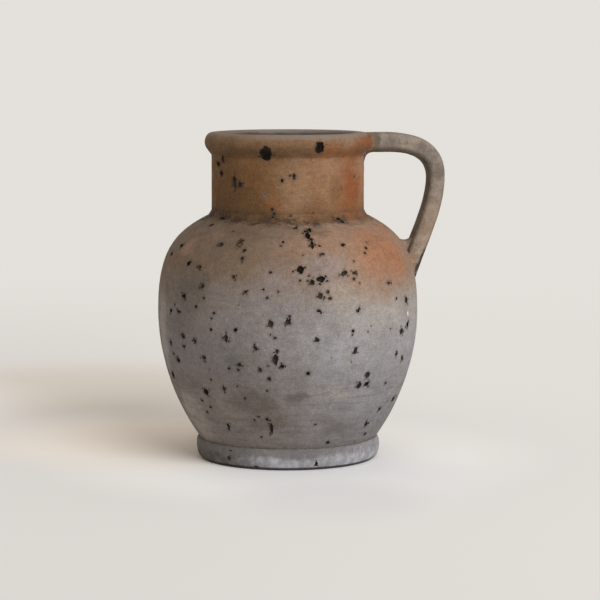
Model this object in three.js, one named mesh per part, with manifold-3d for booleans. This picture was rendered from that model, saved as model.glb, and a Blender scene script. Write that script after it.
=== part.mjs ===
import * as THREE from "three";
import { mergeVertices } from "three/addons/utils/BufferGeometryUtils.js";
import Module from "manifold-3d";

// A one-handled clay storage jar, put together the way a potter builds a large one: a base disc, two thrown
// wall sections that lock together at the belly, a neck collar set into the shoulder, a rolled rim, a coil
// pressed round the foot, and a pulled strap handle pegged into the rim and the shoulder.
// Every piece is its own closed solid, and the thin slip between two pieces is a gap of its own width.
// Millimetres, +Z up. The origin is the middle of the base, on the ground, and the handle points along +X.

const wasm = await Module();
wasm.setup();

// Outer form of the jar
const overallHeight = 290;
const bellyRadius = 116;
const bellyHeight = 132;
const waistRadius = 79.5; // the wall where it rises out of the foot roll
const waistHeight = 19;
const waistSlope = 54.6; // degrees from level
const neckRadius = 68;
const neckFootHeight = 218; // where the shoulder meets the neck
const shoulderSlope = 25.3; // degrees from level, at the neck
const rimRadius = 74;
const rimDepth = 19.5; // from the top of the lip to where the roll runs out on the neck
const rimWidestDrop = 9; // from the top of the lip to the rim's widest place
const rimFootSlope = 59; // degrees from level, where the roll leaves the neck
const footRadius = 82.5;
const restRadius = 77; // the outer edge of the ring that the foot stands on

// How full the outline is between its fixed points, as shares of the stretch that each curve spans
const waistFullness = 0.365;
const bellyFullnessBelow = 0.335;
const bellyFullnessAbove = 0.595;
const shoulderFullness = 0.8;
const footTurn = 0.05; // how soon the foot roll turns up from the ground, as a share of its height
const rimFootFullness = 0.22;
const rimFullnessBelow = 0.38;
const rimFullnessAbove = 0.58;
const lipFullness = 0.54; // of the lip's outer round, as a share of its width

// Clay thickness
const wallThickness = 9;
const neckWall = 9;
const baseThickness = 12;
const lipFlatWidth = 5.5; // the level top of the lip, where a lid rests
const lipInnerRound = 3;
const throatRound = 4; // the rounded edge inside, where the neck opens into the shoulder

// Joints between the pieces
const slipGap = 0.3;
const wallSeatHeight = 8; // the base disc's stepped edge, on which the wall stands
const tongueHeight = 5; // the belly joint's tongue, on the inner half of the wall
const neckSeatDepth = 4; // how far the neck collar is let into the shoulder
const rimOverhang = 3; // how far the rim roll laps down over the neck
const seamCoilRise = 4; // the luting coil in the corner between neck and shoulder
const seamCoilSpread = 4.5;

// Handle
const handleThickness = 15.5;
const handleWidth = 26;
const handleCorner = 6;
const handleDrop = 9.6; // from the top of the lip down to the handle's middle line, at the rim
const handleReach = 133.2; // the middle line's furthest distance from the jar's axis
const handleReachHeight = 249.5;
const handleRootHeight = 173.9; // where the middle line meets the shoulder
const handleLean = 19.4; // degrees from upright, at the shoulder
const handleStraight = 14; // the level run out of the rim before the bend
const handleBury = 30; // how far the middle line runs on inside the wall, before it is trimmed
const pegWidth = 12;
const pegThickness = 7;
const pegDepth = 5;
const rimWadLeg = 8;
const shoulderWadLeg = 9;
const wadWidth = 18;

// Fineness of the faceted surfaces
const roundSegments = 56;
const curveSteps = 7;
const shortSteps = 4;
const cornerSteps = 3;
const handleSteps = 28;
const handleProbes = 120; // points tried along the handle's inner edge
const mergeTolerance = 1e-3;

// Levels and radii that follow from the sizes above
const mouthRadius = neckRadius - neckWall;
const neckSeatHeight = neckFootHeight - neckSeatDepth;
const neckTopHeight = overallHeight - rimDepth + rimOverhang;
const tongueTopHeight = bellyHeight + tongueHeight;
const handleTopHeight = overallHeight - handleDrop;
const radians = THREE.MathUtils.degToRad;
const at = (radius, height) => new THREE.Vector2(radius, height);

// Outlines, as points of (radius, height) that run upwards

function lowerOutline() {
  const rise = bellyHeight - waistHeight;
  const direction = at(Math.cos(radians(waistSlope)), Math.sin(radians(waistSlope)));
  const waist = at(waistRadius, waistHeight);
  const curve = new THREE.CubicBezierCurve(
    waist,
    waist.clone().addScaledVector(direction, waistFullness * rise),
    at(bellyRadius, bellyHeight - bellyFullnessBelow * rise),
    at(bellyRadius, bellyHeight),
  );
  // Below the waist the wall runs straight on, down behind the foot roll, to its seat on the base disc.
  const down = (waistHeight - wallSeatHeight) / direction.y;
  return [waist.clone().addScaledVector(direction, -down), ...curve.getPoints(curveSteps)];
}

function upperOutline() {
  const socketRadius = neckRadius + slipGap;
  const rise = neckFootHeight - bellyHeight;
  const pull = shoulderFullness * (bellyRadius - neckRadius);
  const curve = new THREE.CubicBezierCurve(
    at(bellyRadius, bellyHeight),
    at(bellyRadius, bellyHeight + bellyFullnessAbove * rise),
    at(
      socketRadius + pull * Math.cos(radians(shoulderSlope)),
      neckFootHeight - pull * Math.sin(radians(shoulderSlope)),
    ),
    at(socketRadius, neckFootHeight),
  );
  return curve.getPoints(curveSteps + shortSteps);
}

// The roll round the foot. Its curve has the widest radius half way along, where a cubic is an eighth of
// each end and three eighths of each pulled point.
function footOutline() {
  const start = at(restRadius, 0);
  const end = at(waistRadius + 2 * slipGap, waistHeight);
  const pulled = (8 * footRadius - start.x - end.x) / 6;
  const curve = new THREE.CubicBezierCurve(start, at(pulled, footTurn * end.y), at(pulled, end.y), end);
  return curve.getPoints(curveSteps);
}

// A round of a quarter turn or so about a centre, from one angle to the next in degrees.
function round(centre, radius, from, to) {
  const arc = new THREE.EllipseCurve(centre.x, centre.y, radius, radius, radians(from), radians(to));
  return arc.getPoints(cornerSteps);
}

// The rolled rim: it leaves the neck at a slope, swells to its widest place, and rounds over to the lip.
function rimOutline() {
  const start = at(neckRadius + slipGap, overallHeight - rimDepth);
  const widest = at(rimRadius, overallHeight - rimWidestDrop);
  const lip = at(mouthRadius + lipInnerRound + lipFlatWidth, overallHeight);
  const slope = at(Math.cos(radians(rimFootSlope)), Math.sin(radians(rimFootSlope)));
  const below = widest.y - start.y;
  const swell = new THREE.CubicBezierCurve(
    start,
    start.clone().addScaledVector(slope, rimFootFullness * below),
    at(rimRadius, widest.y - rimFullnessBelow * below),
    widest,
  );
  const roundOver = new THREE.CubicBezierCurve(
    widest,
    at(rimRadius, widest.y + rimFullnessAbove * rimWidestDrop),
    at(lip.x + lipFullness * (rimRadius - lip.x), lip.y),
    lip,
  );
  return [...swell.getPoints(shortSteps), ...roundOver.getPoints(shortSteps).slice(1)];
}

// The same outline moved along its own normals, outwards for a positive distance.
function offsetOutline(points, distance) {
  return points.map((point, i) => {
    const before = points[Math.max(i - 1, 0)];
    const after = points[Math.min(i + 1, points.length - 1)];
    const outward = at(after.y - before.y, before.x - after.x).normalize();
    return point.clone().addScaledVector(outward, distance);
  });
}

function radiusAt(points, height) {
  const above = Math.max(1, points.findIndex((point) => point.y >= height));
  const [low, high] = [points[above - 1], points[above]];
  return THREE.MathUtils.mapLinear(height, low.y, high.y, low.x, high.x);
}

// The height of the shoulder at a radius, on an outline that draws in as it rises.
function heightAt(points, radius) {
  const above = Math.max(1, points.findIndex((point) => point.x <= radius));
  const [low, high] = [points[above - 1], points[above]];
  return THREE.MathUtils.mapLinear(radius, low.x, high.x, low.y, high.y);
}

// The stretch of an outline between two heights, with its ends exactly there.
function stretch(points, low, high) {
  const inside = points.filter((point) => point.y > low + slipGap && point.y < high - slipGap);
  return [at(radiusAt(points, low), low), ...inside, at(radiusAt(points, high), high)];
}

const lower = lowerOutline();
const upper = upperOutline();
const wallOutline = [...lower, ...upper.slice(1)];
const innerOutline = offsetOutline(wallOutline, -wallThickness);
const baseRadius = lower[0].x; // the base disc ends flush with the wall that stands on its edge
const padRadius = radiusAt(innerOutline, baseThickness);
const tongueRadius = bellyRadius - wallThickness / 2;
const throatHeight = neckSeatHeight - wallThickness;

// Solids

function solidOf(geometry) {
  const bare = geometry.clone();
  bare.deleteAttribute("normal");
  bare.deleteAttribute("uv");
  const merged = mergeVertices(bare, mergeTolerance);
  const index = merged.index.array;
  const triangles = [];
  for (let i = 0; i < index.length; i += 3) {
    const [a, b, c] = [index[i], index[i + 1], index[i + 2]];
    if (a !== b && b !== c && c !== a) triangles.push(a, b, c);
  }
  return new wasm.Manifold(
    new wasm.Mesh({
      numProp: 3,
      vertProperties: merged.attributes.position.array,
      triVerts: new Uint32Array(triangles),
    }),
  );
}

function turned(profile) {
  const geometry = new THREE.LatheGeometry(profile, roundSegments);
  geometry.rotateX(Math.PI / 2);
  return solidOf(geometry);
}

const turnedRing = (profile) => turned([...profile, profile[0]]);

function strapSection(thickness, width, corner) {
  const [x, y, r] = [thickness / 2, width / 2, corner];
  const section = new THREE.Shape();
  section.absarc(x - r, y - r, r, 0, Math.PI / 2);
  section.absarc(r - x, y - r, r, Math.PI / 2, Math.PI);
  section.absarc(r - x, r - y, r, Math.PI, 1.5 * Math.PI);
  section.absarc(x - r, r - y, r, 1.5 * Math.PI, 2 * Math.PI);
  return section;
}

// The handle's middle line: out of the rim, round the bend, and down into the shoulder. It lies in the
// plane of +X and +Z, and a strap drawn along it keeps its broad side across that plane.
class HandleLine extends THREE.CurvePath {
  constructor() {
    super();
    const point = (x, z) => new THREE.Vector3(x, 0, z);
    const start = point(mouthRadius, handleTopHeight);
    const bendStart = point(rimRadius + handleStraight, handleTopHeight);
    const outermost = point(handleReach, handleReachHeight);
    const root = point(radiusAt(wallOutline, handleRootHeight), handleRootHeight);
    const lean = point(Math.sin(radians(handleLean)), Math.cos(radians(handleLean)));
    const bendDrop = handleTopHeight - handleReachHeight;
    const fall = handleReachHeight - handleRootHeight;
    this.add(new THREE.LineCurve3(start, bendStart));
    this.add(
      new THREE.CubicBezierCurve3(
        bendStart,
        point(THREE.MathUtils.lerp(bendStart.x, handleReach, 2 / 3), handleTopHeight),
        point(handleReach, handleReachHeight + (2 / 3) * bendDrop),
        outermost,
      ),
    );
    this.add(
      new THREE.CubicBezierCurve3(
        outermost,
        point(handleReach, handleReachHeight - fall / 3),
        root.clone().addScaledVector(lean, fall / 3),
        root,
      ),
    );
    this.add(new THREE.LineCurve3(root, root.clone().addScaledVector(lean, -handleBury)));
  }

  computeFrenetFrames(steps) {
    const tangents = [];
    const normals = [];
    const binormals = [];
    for (let i = 0; i <= steps; i += 1) {
      const tangent = this.getTangentAt(i / steps);
      const binormal = new THREE.Vector3(0, -1, 0);
      tangents.push(tangent);
      binormals.push(binormal);
      normals.push(new THREE.Vector3().crossVectors(binormal, tangent));
    }
    return { tangents, normals, binormals };
  }
}

const handleLine = new HandleLine();

function strap(thickness, width, corner) {
  return solidOf(
    new THREE.ExtrudeGeometry(strapSection(thickness, width, corner), {
      steps: handleSteps,
      curveSegments: cornerSteps,
      extrudePath: handleLine,
    }),
  );
}

const handleStrap = (growth) =>
  strap(handleThickness + 2 * growth, handleWidth + 2 * growth, handleCorner + growth);

const handlePeg = (growth) =>
  strap(pegThickness + 2 * growth, pegWidth + 2 * growth, pegThickness / 2 - slipGap + growth);

// Everything inside the jar's outer surface from the belly up, moved outwards by a distance.
function filledJar(distance) {
  const outline = offsetOutline(
    [...wallOutline, at(neckRadius, neckFootHeight + seamCoilRise), ...rimOutline()],
    distance,
  );
  return turned([at(0, outline[0].y), ...outline, at(0, outline.at(-1).y)]);
}

// The holes that the handle's pegs sit in, at the rim and at the shoulder.
const pegHoles = () => handlePeg(slipGap).subtract(filledJar(-pegDepth - slipGap));

// A block with an outline in the plane of +X and +Z, centred on that plane.
function block(outline, width) {
  const shape = new THREE.Shape(outline);
  const geometry = new THREE.ExtrudeGeometry(shape, { depth: width, bevelEnabled: false });
  geometry.rotateX(Math.PI / 2);
  geometry.translate(0, width / 2, 0);
  return solidOf(geometry);
}

// A wad of clay pressed into the corner between the handle and the jar: a three-sided block with a hollow
// face, trimmed to both.
function wad(corner, alongJar, alongHandle) {
  const hollow = corner.clone().add(alongJar).add(alongHandle).divideScalar(3);
  const face = new THREE.QuadraticBezierCurve(alongHandle, hollow, alongJar).getPoints(shortSteps);
  return block([corner, ...face], wadWidth)
    .subtract(filledJar(slipGap))
    .subtract(handleStrap(slipGap));
}

// The handle's inner edge, on the side that faces the jar, as points of (distance from the axis, height).
function handleInnerEdge() {
  const frames = handleLine.computeFrenetFrames(handleProbes);
  return handleLine.getSpacedPoints(handleProbes).map((point, i) => {
    const inner = point.addScaledVector(frames.normals[i], -handleThickness / 2);
    return at(inner.x, inner.z);
  });
}

// Pieces

function baseDisc() {
  return turned([
    at(0, 0),
    at(baseRadius, 0),
    at(baseRadius, wallSeatHeight),
    at(padRadius - slipGap, wallSeatHeight),
    at(padRadius - slipGap, baseThickness),
    at(0, baseThickness),
  ]);
}

function footRoll() {
  return turnedRing([
    at(baseRadius + slipGap, 0),
    ...footOutline(),
    at(waistRadius + slipGap, waistHeight - slipGap),
    at(baseRadius + slipGap, wallSeatHeight),
  ]);
}

function lowerWall() {
  return turnedRing([
    at(padRadius, wallSeatHeight),
    ...lower,
    at(tongueRadius - slipGap / 2, bellyHeight),
    at(tongueRadius - slipGap / 2, tongueTopHeight),
    ...stretch(innerOutline, baseThickness, tongueTopHeight).reverse(),
  ]).subtract(pegHoles());
}

function shoulderWall() {
  const inner = stretch(innerOutline, tongueTopHeight, throatHeight);
  const throatCentre = at(mouthRadius + throatRound, throatHeight + throatRound);
  return turnedRing([
    at(tongueRadius + slipGap / 2, bellyHeight),
    ...upper,
    at(neckRadius + slipGap, neckSeatHeight),
    at(mouthRadius, neckSeatHeight),
    ...round(throatCentre, throatRound, 180, 270),
    ...inner.reverse(),
    at(tongueRadius + slipGap / 2, tongueTopHeight),
  ]).subtract(pegHoles());
}

function neckCollar() {
  return turnedRing([
    at(mouthRadius, neckSeatHeight),
    at(neckRadius, neckSeatHeight),
    at(neckRadius, neckTopHeight),
    at(mouthRadius, neckTopHeight),
  ]).subtract(pegHoles());
}

function neckSeamCoil() {
  const innerRadius = neckRadius + slipGap;
  const outerRadius = innerRadius + seamCoilSpread;
  const shoulder = offsetOutline(upper, slipGap);
  const foot = at(outerRadius, heightAt(shoulder, outerRadius));
  const corner = at(innerRadius, neckFootHeight + slipGap);
  const top = at(innerRadius + slipGap, neckFootHeight + seamCoilRise);
  const face = new THREE.QuadraticBezierCurve(foot, corner.clone().add(foot).divideScalar(2), top);
  return turnedRing([corner, ...face.getPoints(shortSteps), at(innerRadius, top.y)]);
}

function rimRoll() {
  const roundCentre = at(mouthRadius + lipInnerRound, overallHeight - lipInnerRound);
  return turnedRing([
    at(mouthRadius, neckTopHeight),
    at(neckRadius + slipGap, neckTopHeight),
    ...rimOutline(),
    ...round(roundCentre, lipInnerRound, 90, 180),
  ]).subtract(pegHoles());
}

function handle() {
  const strapOutside = handleStrap(0).subtract(filledJar(slipGap));
  const pegs = handlePeg(0).subtract(filledJar(-pegDepth));
  return strapOutside.add(pegs);
}

function rimWad() {
  const underside = handleTopHeight - handleThickness / 2;
  const corner = at(neckRadius, underside);
  return wad(corner, at(neckRadius, underside - rimWadLeg), at(neckRadius + rimWadLeg, underside));
}

function shoulderWad() {
  const edge = handleInnerEdge();
  const met = edge.findIndex((point) => point.y < neckFootHeight && point.x < radiusAt(upper, point.y));
  const corner = edge[met];
  const onHandle = edge.findLast((point, i) => i < met && point.distanceTo(corner) > shoulderWadLeg);
  const onJar = upper.find((point) => point.y > corner.y && point.distanceTo(corner) > shoulderWadLeg);
  const leg = (point) => corner.clone().lerp(point, shoulderWadLeg / point.distanceTo(corner));
  return wad(corner, leg(onJar), leg(onHandle));
}

// Fired clay, as its bare colours
const unglazedRoughness = 0.95;

const clay = (name, color) =>
  new THREE.MeshStandardMaterial({ name, color, roughness: unglazedRoughness, metalness: 0 });

const greyClay = clay("smoked_clay", 0x8d8682);
const warmClay = clay("terracotta", 0xa8714d);
const handleClay = clay("ash_clay", 0x93877d);

const jar = new THREE.Group();

function addPiece(name, solid, material) {
  const { vertProperties, triVerts } = solid.getMesh();
  const geometry = new THREE.BufferGeometry();
  geometry.setAttribute("position", new THREE.BufferAttribute(vertProperties, 3));
  geometry.setIndex(new THREE.BufferAttribute(triVerts, 1));
  geometry.computeVertexNormals();
  const mesh = new THREE.Mesh(geometry, material);
  mesh.name = name;
  jar.add(mesh);
}

addPiece("base_disc", baseDisc(), greyClay);
addPiece("foot_roll", footRoll(), greyClay);
addPiece("lower_wall", lowerWall(), greyClay);
addPiece("shoulder_wall", shoulderWall(), greyClay);
addPiece("neck_seam_coil", neckSeamCoil(), warmClay);
addPiece("neck_collar", neckCollar(), warmClay);
addPiece("rim_roll", rimRoll(), warmClay);
addPiece("handle_strap", handle(), handleClay);
addPiece("handle_rim_wad", rimWad(), handleClay);
addPiece("handle_shoulder_wad", shoulderWad(), handleClay);

export default jar;
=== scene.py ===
import math
import random
from collections import namedtuple

import bpy
import numpy as np
from mathutils import Matrix, Vector
from mathutils.bvhtree import BVHTree


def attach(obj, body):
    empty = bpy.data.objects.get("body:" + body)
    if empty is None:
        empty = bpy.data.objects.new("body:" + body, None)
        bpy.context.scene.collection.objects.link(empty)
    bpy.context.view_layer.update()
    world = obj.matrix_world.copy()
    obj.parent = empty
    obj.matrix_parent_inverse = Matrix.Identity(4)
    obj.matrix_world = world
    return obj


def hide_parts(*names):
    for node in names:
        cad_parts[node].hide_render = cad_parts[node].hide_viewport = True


# A hand-made clay jar: thrown walls, a rolled rim and foot and a pulled handle, in smoked and
# partly oxidised clay that is full of burnt-out pits. Sizes are millimetres until a mesh is made.

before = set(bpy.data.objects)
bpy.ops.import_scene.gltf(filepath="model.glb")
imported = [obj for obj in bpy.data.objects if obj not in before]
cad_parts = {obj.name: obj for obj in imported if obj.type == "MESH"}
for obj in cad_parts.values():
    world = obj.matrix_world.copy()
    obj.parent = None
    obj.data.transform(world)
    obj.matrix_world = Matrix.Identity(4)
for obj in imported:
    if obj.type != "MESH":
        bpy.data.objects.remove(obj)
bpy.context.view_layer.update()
MM = 0.001

# Outer form of the jar, as in the solids
JAR_HEIGHT = 290
BELLY_RADIUS = 116
BELLY_HEIGHT = 132
WAIST_RADIUS = 79.5
WAIST_HEIGHT = 19
WAIST_SLOPE = 54.6
NECK_RADIUS = 68
NECK_FOOT_HEIGHT = 218
SHOULDER_SLOPE = 25.3
RIM_RADIUS = 74
RIM_DEPTH = 19.5
RIM_WIDEST_DROP = 9
RIM_FOOT_SLOPE = 59
FOOT_RADIUS = 82.5
REST_RADIUS = 77
WAIST_FULLNESS = 0.365
BELLY_FULLNESS_BELOW = 0.335
BELLY_FULLNESS_ABOVE = 0.595
SHOULDER_FULLNESS = 0.8
FOOT_TURN = 0.05
RIM_FOOT_FULLNESS = 0.22
RIM_FULLNESS_BELOW = 0.38
RIM_FULLNESS_ABOVE = 0.58
LIP_FULLNESS = 0.54

# Walls and joints
WALL = 9
BASE_THICKNESS = 12
LIP_FLAT = 5.5
LIP_ROUND = 3
THROAT_ROUND = 4
SLIP_GAP = 0.3
WALL_SEAT_HEIGHT = 8
TONGUE_HEIGHT = 5
NECK_SEAT_DEPTH = 4
RIM_OVERHANG = 3
SEAM_COIL_RISE = 4
SEAM_COIL_SPREAD = 4.5
MOUTH_RADIUS = NECK_RADIUS - WALL
NECK_SEAT_HEIGHT = NECK_FOOT_HEIGHT - NECK_SEAT_DEPTH
NECK_TOP_HEIGHT = JAR_HEIGHT - RIM_DEPTH + RIM_OVERHANG
TONGUE_RADIUS = BELLY_RADIUS - WALL / 2
TONGUE_TOP_HEIGHT = BELLY_HEIGHT + TONGUE_HEIGHT
THROAT_HEIGHT = NECK_SEAT_HEIGHT - WALL

# Handle
STRAP_THICKNESS = 15.5
STRAP_WIDTH = 26
STRAP_CORNER = 5
HANDLE_DROP = 9.1
HANDLE_REACH = 133.2
HANDLE_REACH_HEIGHT = 249.5
HANDLE_ROOT_HEIGHT = 173.9
HANDLE_LEAN = 19.4
HANDLE_STRAIGHT = 14
HANDLE_BURY = 12
ROOT_DEPTH = 3
WAD_SINK = 1.5
RIM_WAD_HOLLOW = 0.35
SHOULDER_WAD_LEG = 14
SHOULDER_WAD_HOLLOW = 0.6
ROOT_FLARE = 16
LOW_FLARE_SHARE = 0.35
FLARE_SINK = 0.6
HANDLE_TOP_HEIGHT = JAR_HEIGHT - HANDLE_DROP
# How full the strap is, by its distance along the line from the rim: it thins as it was pulled
STRAP_FULLNESS = [(0, 1.15), (52, 1.14), (70, 1.04), (88, 0.93), (105, 0.95), (165, 1.0)]

# Fineness: how far apart the points of a line lie, in millimetres, and how many a round has
FINE_STEP = 2.0
COARSE_STEP = 6.0
SLAB_STEP = 3.0
FOOT_STEP = 1.2
THROAT_STEP = 1.0
RIM_STEP = 1.0
SEAM_STEP = 0.7
SEAM_SIDE_STEP = 1.2
STRAP_STEP = 0.6
CROTCH_STEP = 0.5
CORE_STEP = 3.0
CORE_STEP_UP = 2
SAME_POINT = 1e-6
WELD = 0.01
BODY_FACETS = 360
NECK_FACETS = 300
CORE_FACETS = 180
CURVE_STEPS = 60
CORNER_STEPS = 6
STRAP_CORNER_STEPS = 6
STRAP_SECTION_POINTS = 56
WAD_FACE_STEPS = 10
WAD_STEPS = 14

# Camera, fitted to the photo: its place round the jar's axis, and its aim
IMAGE_SIDE = 600
LENS = 140
SENSOR = 36
CAMERA_DISTANCE = 2.073
CAMERA_HEIGHT = 0.373
CAMERA_TURN = -7.0
CAMERA_PAN = 0.302
CAMERA_TILT = 6.408
FOCAL_PIXELS = LENS / SENSOR * IMAGE_SIDE


# Outlines, as points of (radius, height) that run upwards

def bezier(start, pull, push, end, steps=CURVE_STEPS):
    share = np.linspace(0, 1, steps + 1)[:, None]
    start, pull, push, end = (np.array(point, float) for point in (start, pull, push, end))
    left = 1 - share
    return (
        left**3 * start + 3 * left**2 * share * pull + 3 * left * share**2 * push + share**3 * end
    )


def lower_outline():
    rise = BELLY_HEIGHT - WAIST_HEIGHT
    slope = math.radians(WAIST_SLOPE)
    direction = np.array([math.cos(slope), math.sin(slope)])
    waist = np.array([WAIST_RADIUS, WAIST_HEIGHT])
    seat = waist - direction * (WAIST_HEIGHT - WALL_SEAT_HEIGHT) / direction[1]
    curve = bezier(
        waist,
        waist + WAIST_FULLNESS * rise * direction,
        (BELLY_RADIUS, BELLY_HEIGHT - BELLY_FULLNESS_BELOW * rise),
        (BELLY_RADIUS, BELLY_HEIGHT),
    )
    return np.vstack([seat, curve])


def upper_outline():
    socket = NECK_RADIUS + SLIP_GAP
    rise = NECK_FOOT_HEIGHT - BELLY_HEIGHT
    pull = SHOULDER_FULLNESS * (BELLY_RADIUS - NECK_RADIUS)
    slope = math.radians(SHOULDER_SLOPE)
    return bezier(
        (BELLY_RADIUS, BELLY_HEIGHT),
        (BELLY_RADIUS, BELLY_HEIGHT + BELLY_FULLNESS_ABOVE * rise),
        (socket + pull * math.cos(slope), NECK_FOOT_HEIGHT - pull * math.sin(slope)),
        (socket, NECK_FOOT_HEIGHT),
    )


def rim_outline():
    start = np.array([NECK_RADIUS + SLIP_GAP, JAR_HEIGHT - RIM_DEPTH])
    widest = np.array([RIM_RADIUS, JAR_HEIGHT - RIM_WIDEST_DROP])
    lip = np.array([MOUTH_RADIUS + LIP_ROUND + LIP_FLAT, JAR_HEIGHT])
    slope = math.radians(RIM_FOOT_SLOPE)
    below = widest[1] - start[1]
    swell = bezier(
        start,
        start + RIM_FOOT_FULLNESS * below * np.array([math.cos(slope), math.sin(slope)]),
        (RIM_RADIUS, widest[1] - RIM_FULLNESS_BELOW * below),
        widest,
    )
    round_over = bezier(
        widest,
        (RIM_RADIUS, widest[1] + RIM_FULLNESS_ABOVE * RIM_WIDEST_DROP),
        (lip[0] + LIP_FULLNESS * (RIM_RADIUS - lip[0]), JAR_HEIGHT),
        lip,
    )
    return np.vstack([swell, round_over[1:]])


def foot_outline():
    """Bulges to the foot's radius at its middle, an eighth of its ends and three of each pull."""
    start = (REST_RADIUS, 0)
    end = (WAIST_RADIUS + 2 * SLIP_GAP, WAIST_HEIGHT)
    pulled = (8 * FOOT_RADIUS - start[0] - end[0]) / 6
    return bezier(start, (pulled, FOOT_TURN * WAIST_HEIGHT), (pulled, WAIST_HEIGHT), end)


def shifted(points, distance):
    """The line moved by a distance towards its right-hand side."""
    along = np.gradient(points, axis=0)
    outward = np.stack([along[:, 1], -along[:, 0]], axis=1)
    return points + distance * outward / np.linalg.norm(outward, axis=1, keepdims=True)


def radius_at(points, height):
    return float(np.interp(height, points[:, 1], points[:, 0]))


def height_at(points, radius):
    return float(np.interp(radius, points[::-1, 0], points[::-1, 1]))


def stretch(points, low, high):
    """The part of an outline between two heights."""
    inside = points[(points[:, 1] > low + SLIP_GAP) & (points[:, 1] < high - SLIP_GAP)]
    return np.vstack([[radius_at(points, low), low], inside, [radius_at(points, high), high]])


def distances(points):
    """How far along the line each of its points lies."""
    return np.r_[0, np.cumsum(np.linalg.norm(np.diff(points, axis=0), axis=1))]


def spaced(points, step):
    """The same line with points at an even spacing near step."""
    points = np.array(points, float)
    lengths = distances(points)
    stops = np.linspace(0, lengths[-1], max(1, round(lengths[-1] / step)) + 1)
    return np.stack([np.interp(stops, lengths, column) for column in points.T], axis=1)


def quarter_round(centre, radius, first, last):
    angles = np.radians(np.linspace(first, last, CORNER_STEPS + 1))
    return np.stack(
        [centre[0] + radius * np.cos(angles), centre[1] + radius * np.sin(angles)], axis=1
    )


LOWER = lower_outline()
UPPER = upper_outline()
WALL_OUTLINE = np.vstack([LOWER, UPPER[1:]])
INNER_OUTLINE = shifted(WALL_OUTLINE, -WALL)
BASE_RADIUS = LOWER[0][0]
PAD_RADIUS = radius_at(INNER_OUTLINE, BASE_THICKNESS)


# Trees of nodes

# A noise: how many lumps to a metre, its seed, how its finer lumps are added, how much flatter
# than round they lie (under one, upright), and its edges: from low to high, from first to last
Noise = namedtuple(
    "Noise", "scale seed detail roughness level edges", defaults=(2.0, 0.5, 1, (0.3, 0.7))
)


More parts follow.
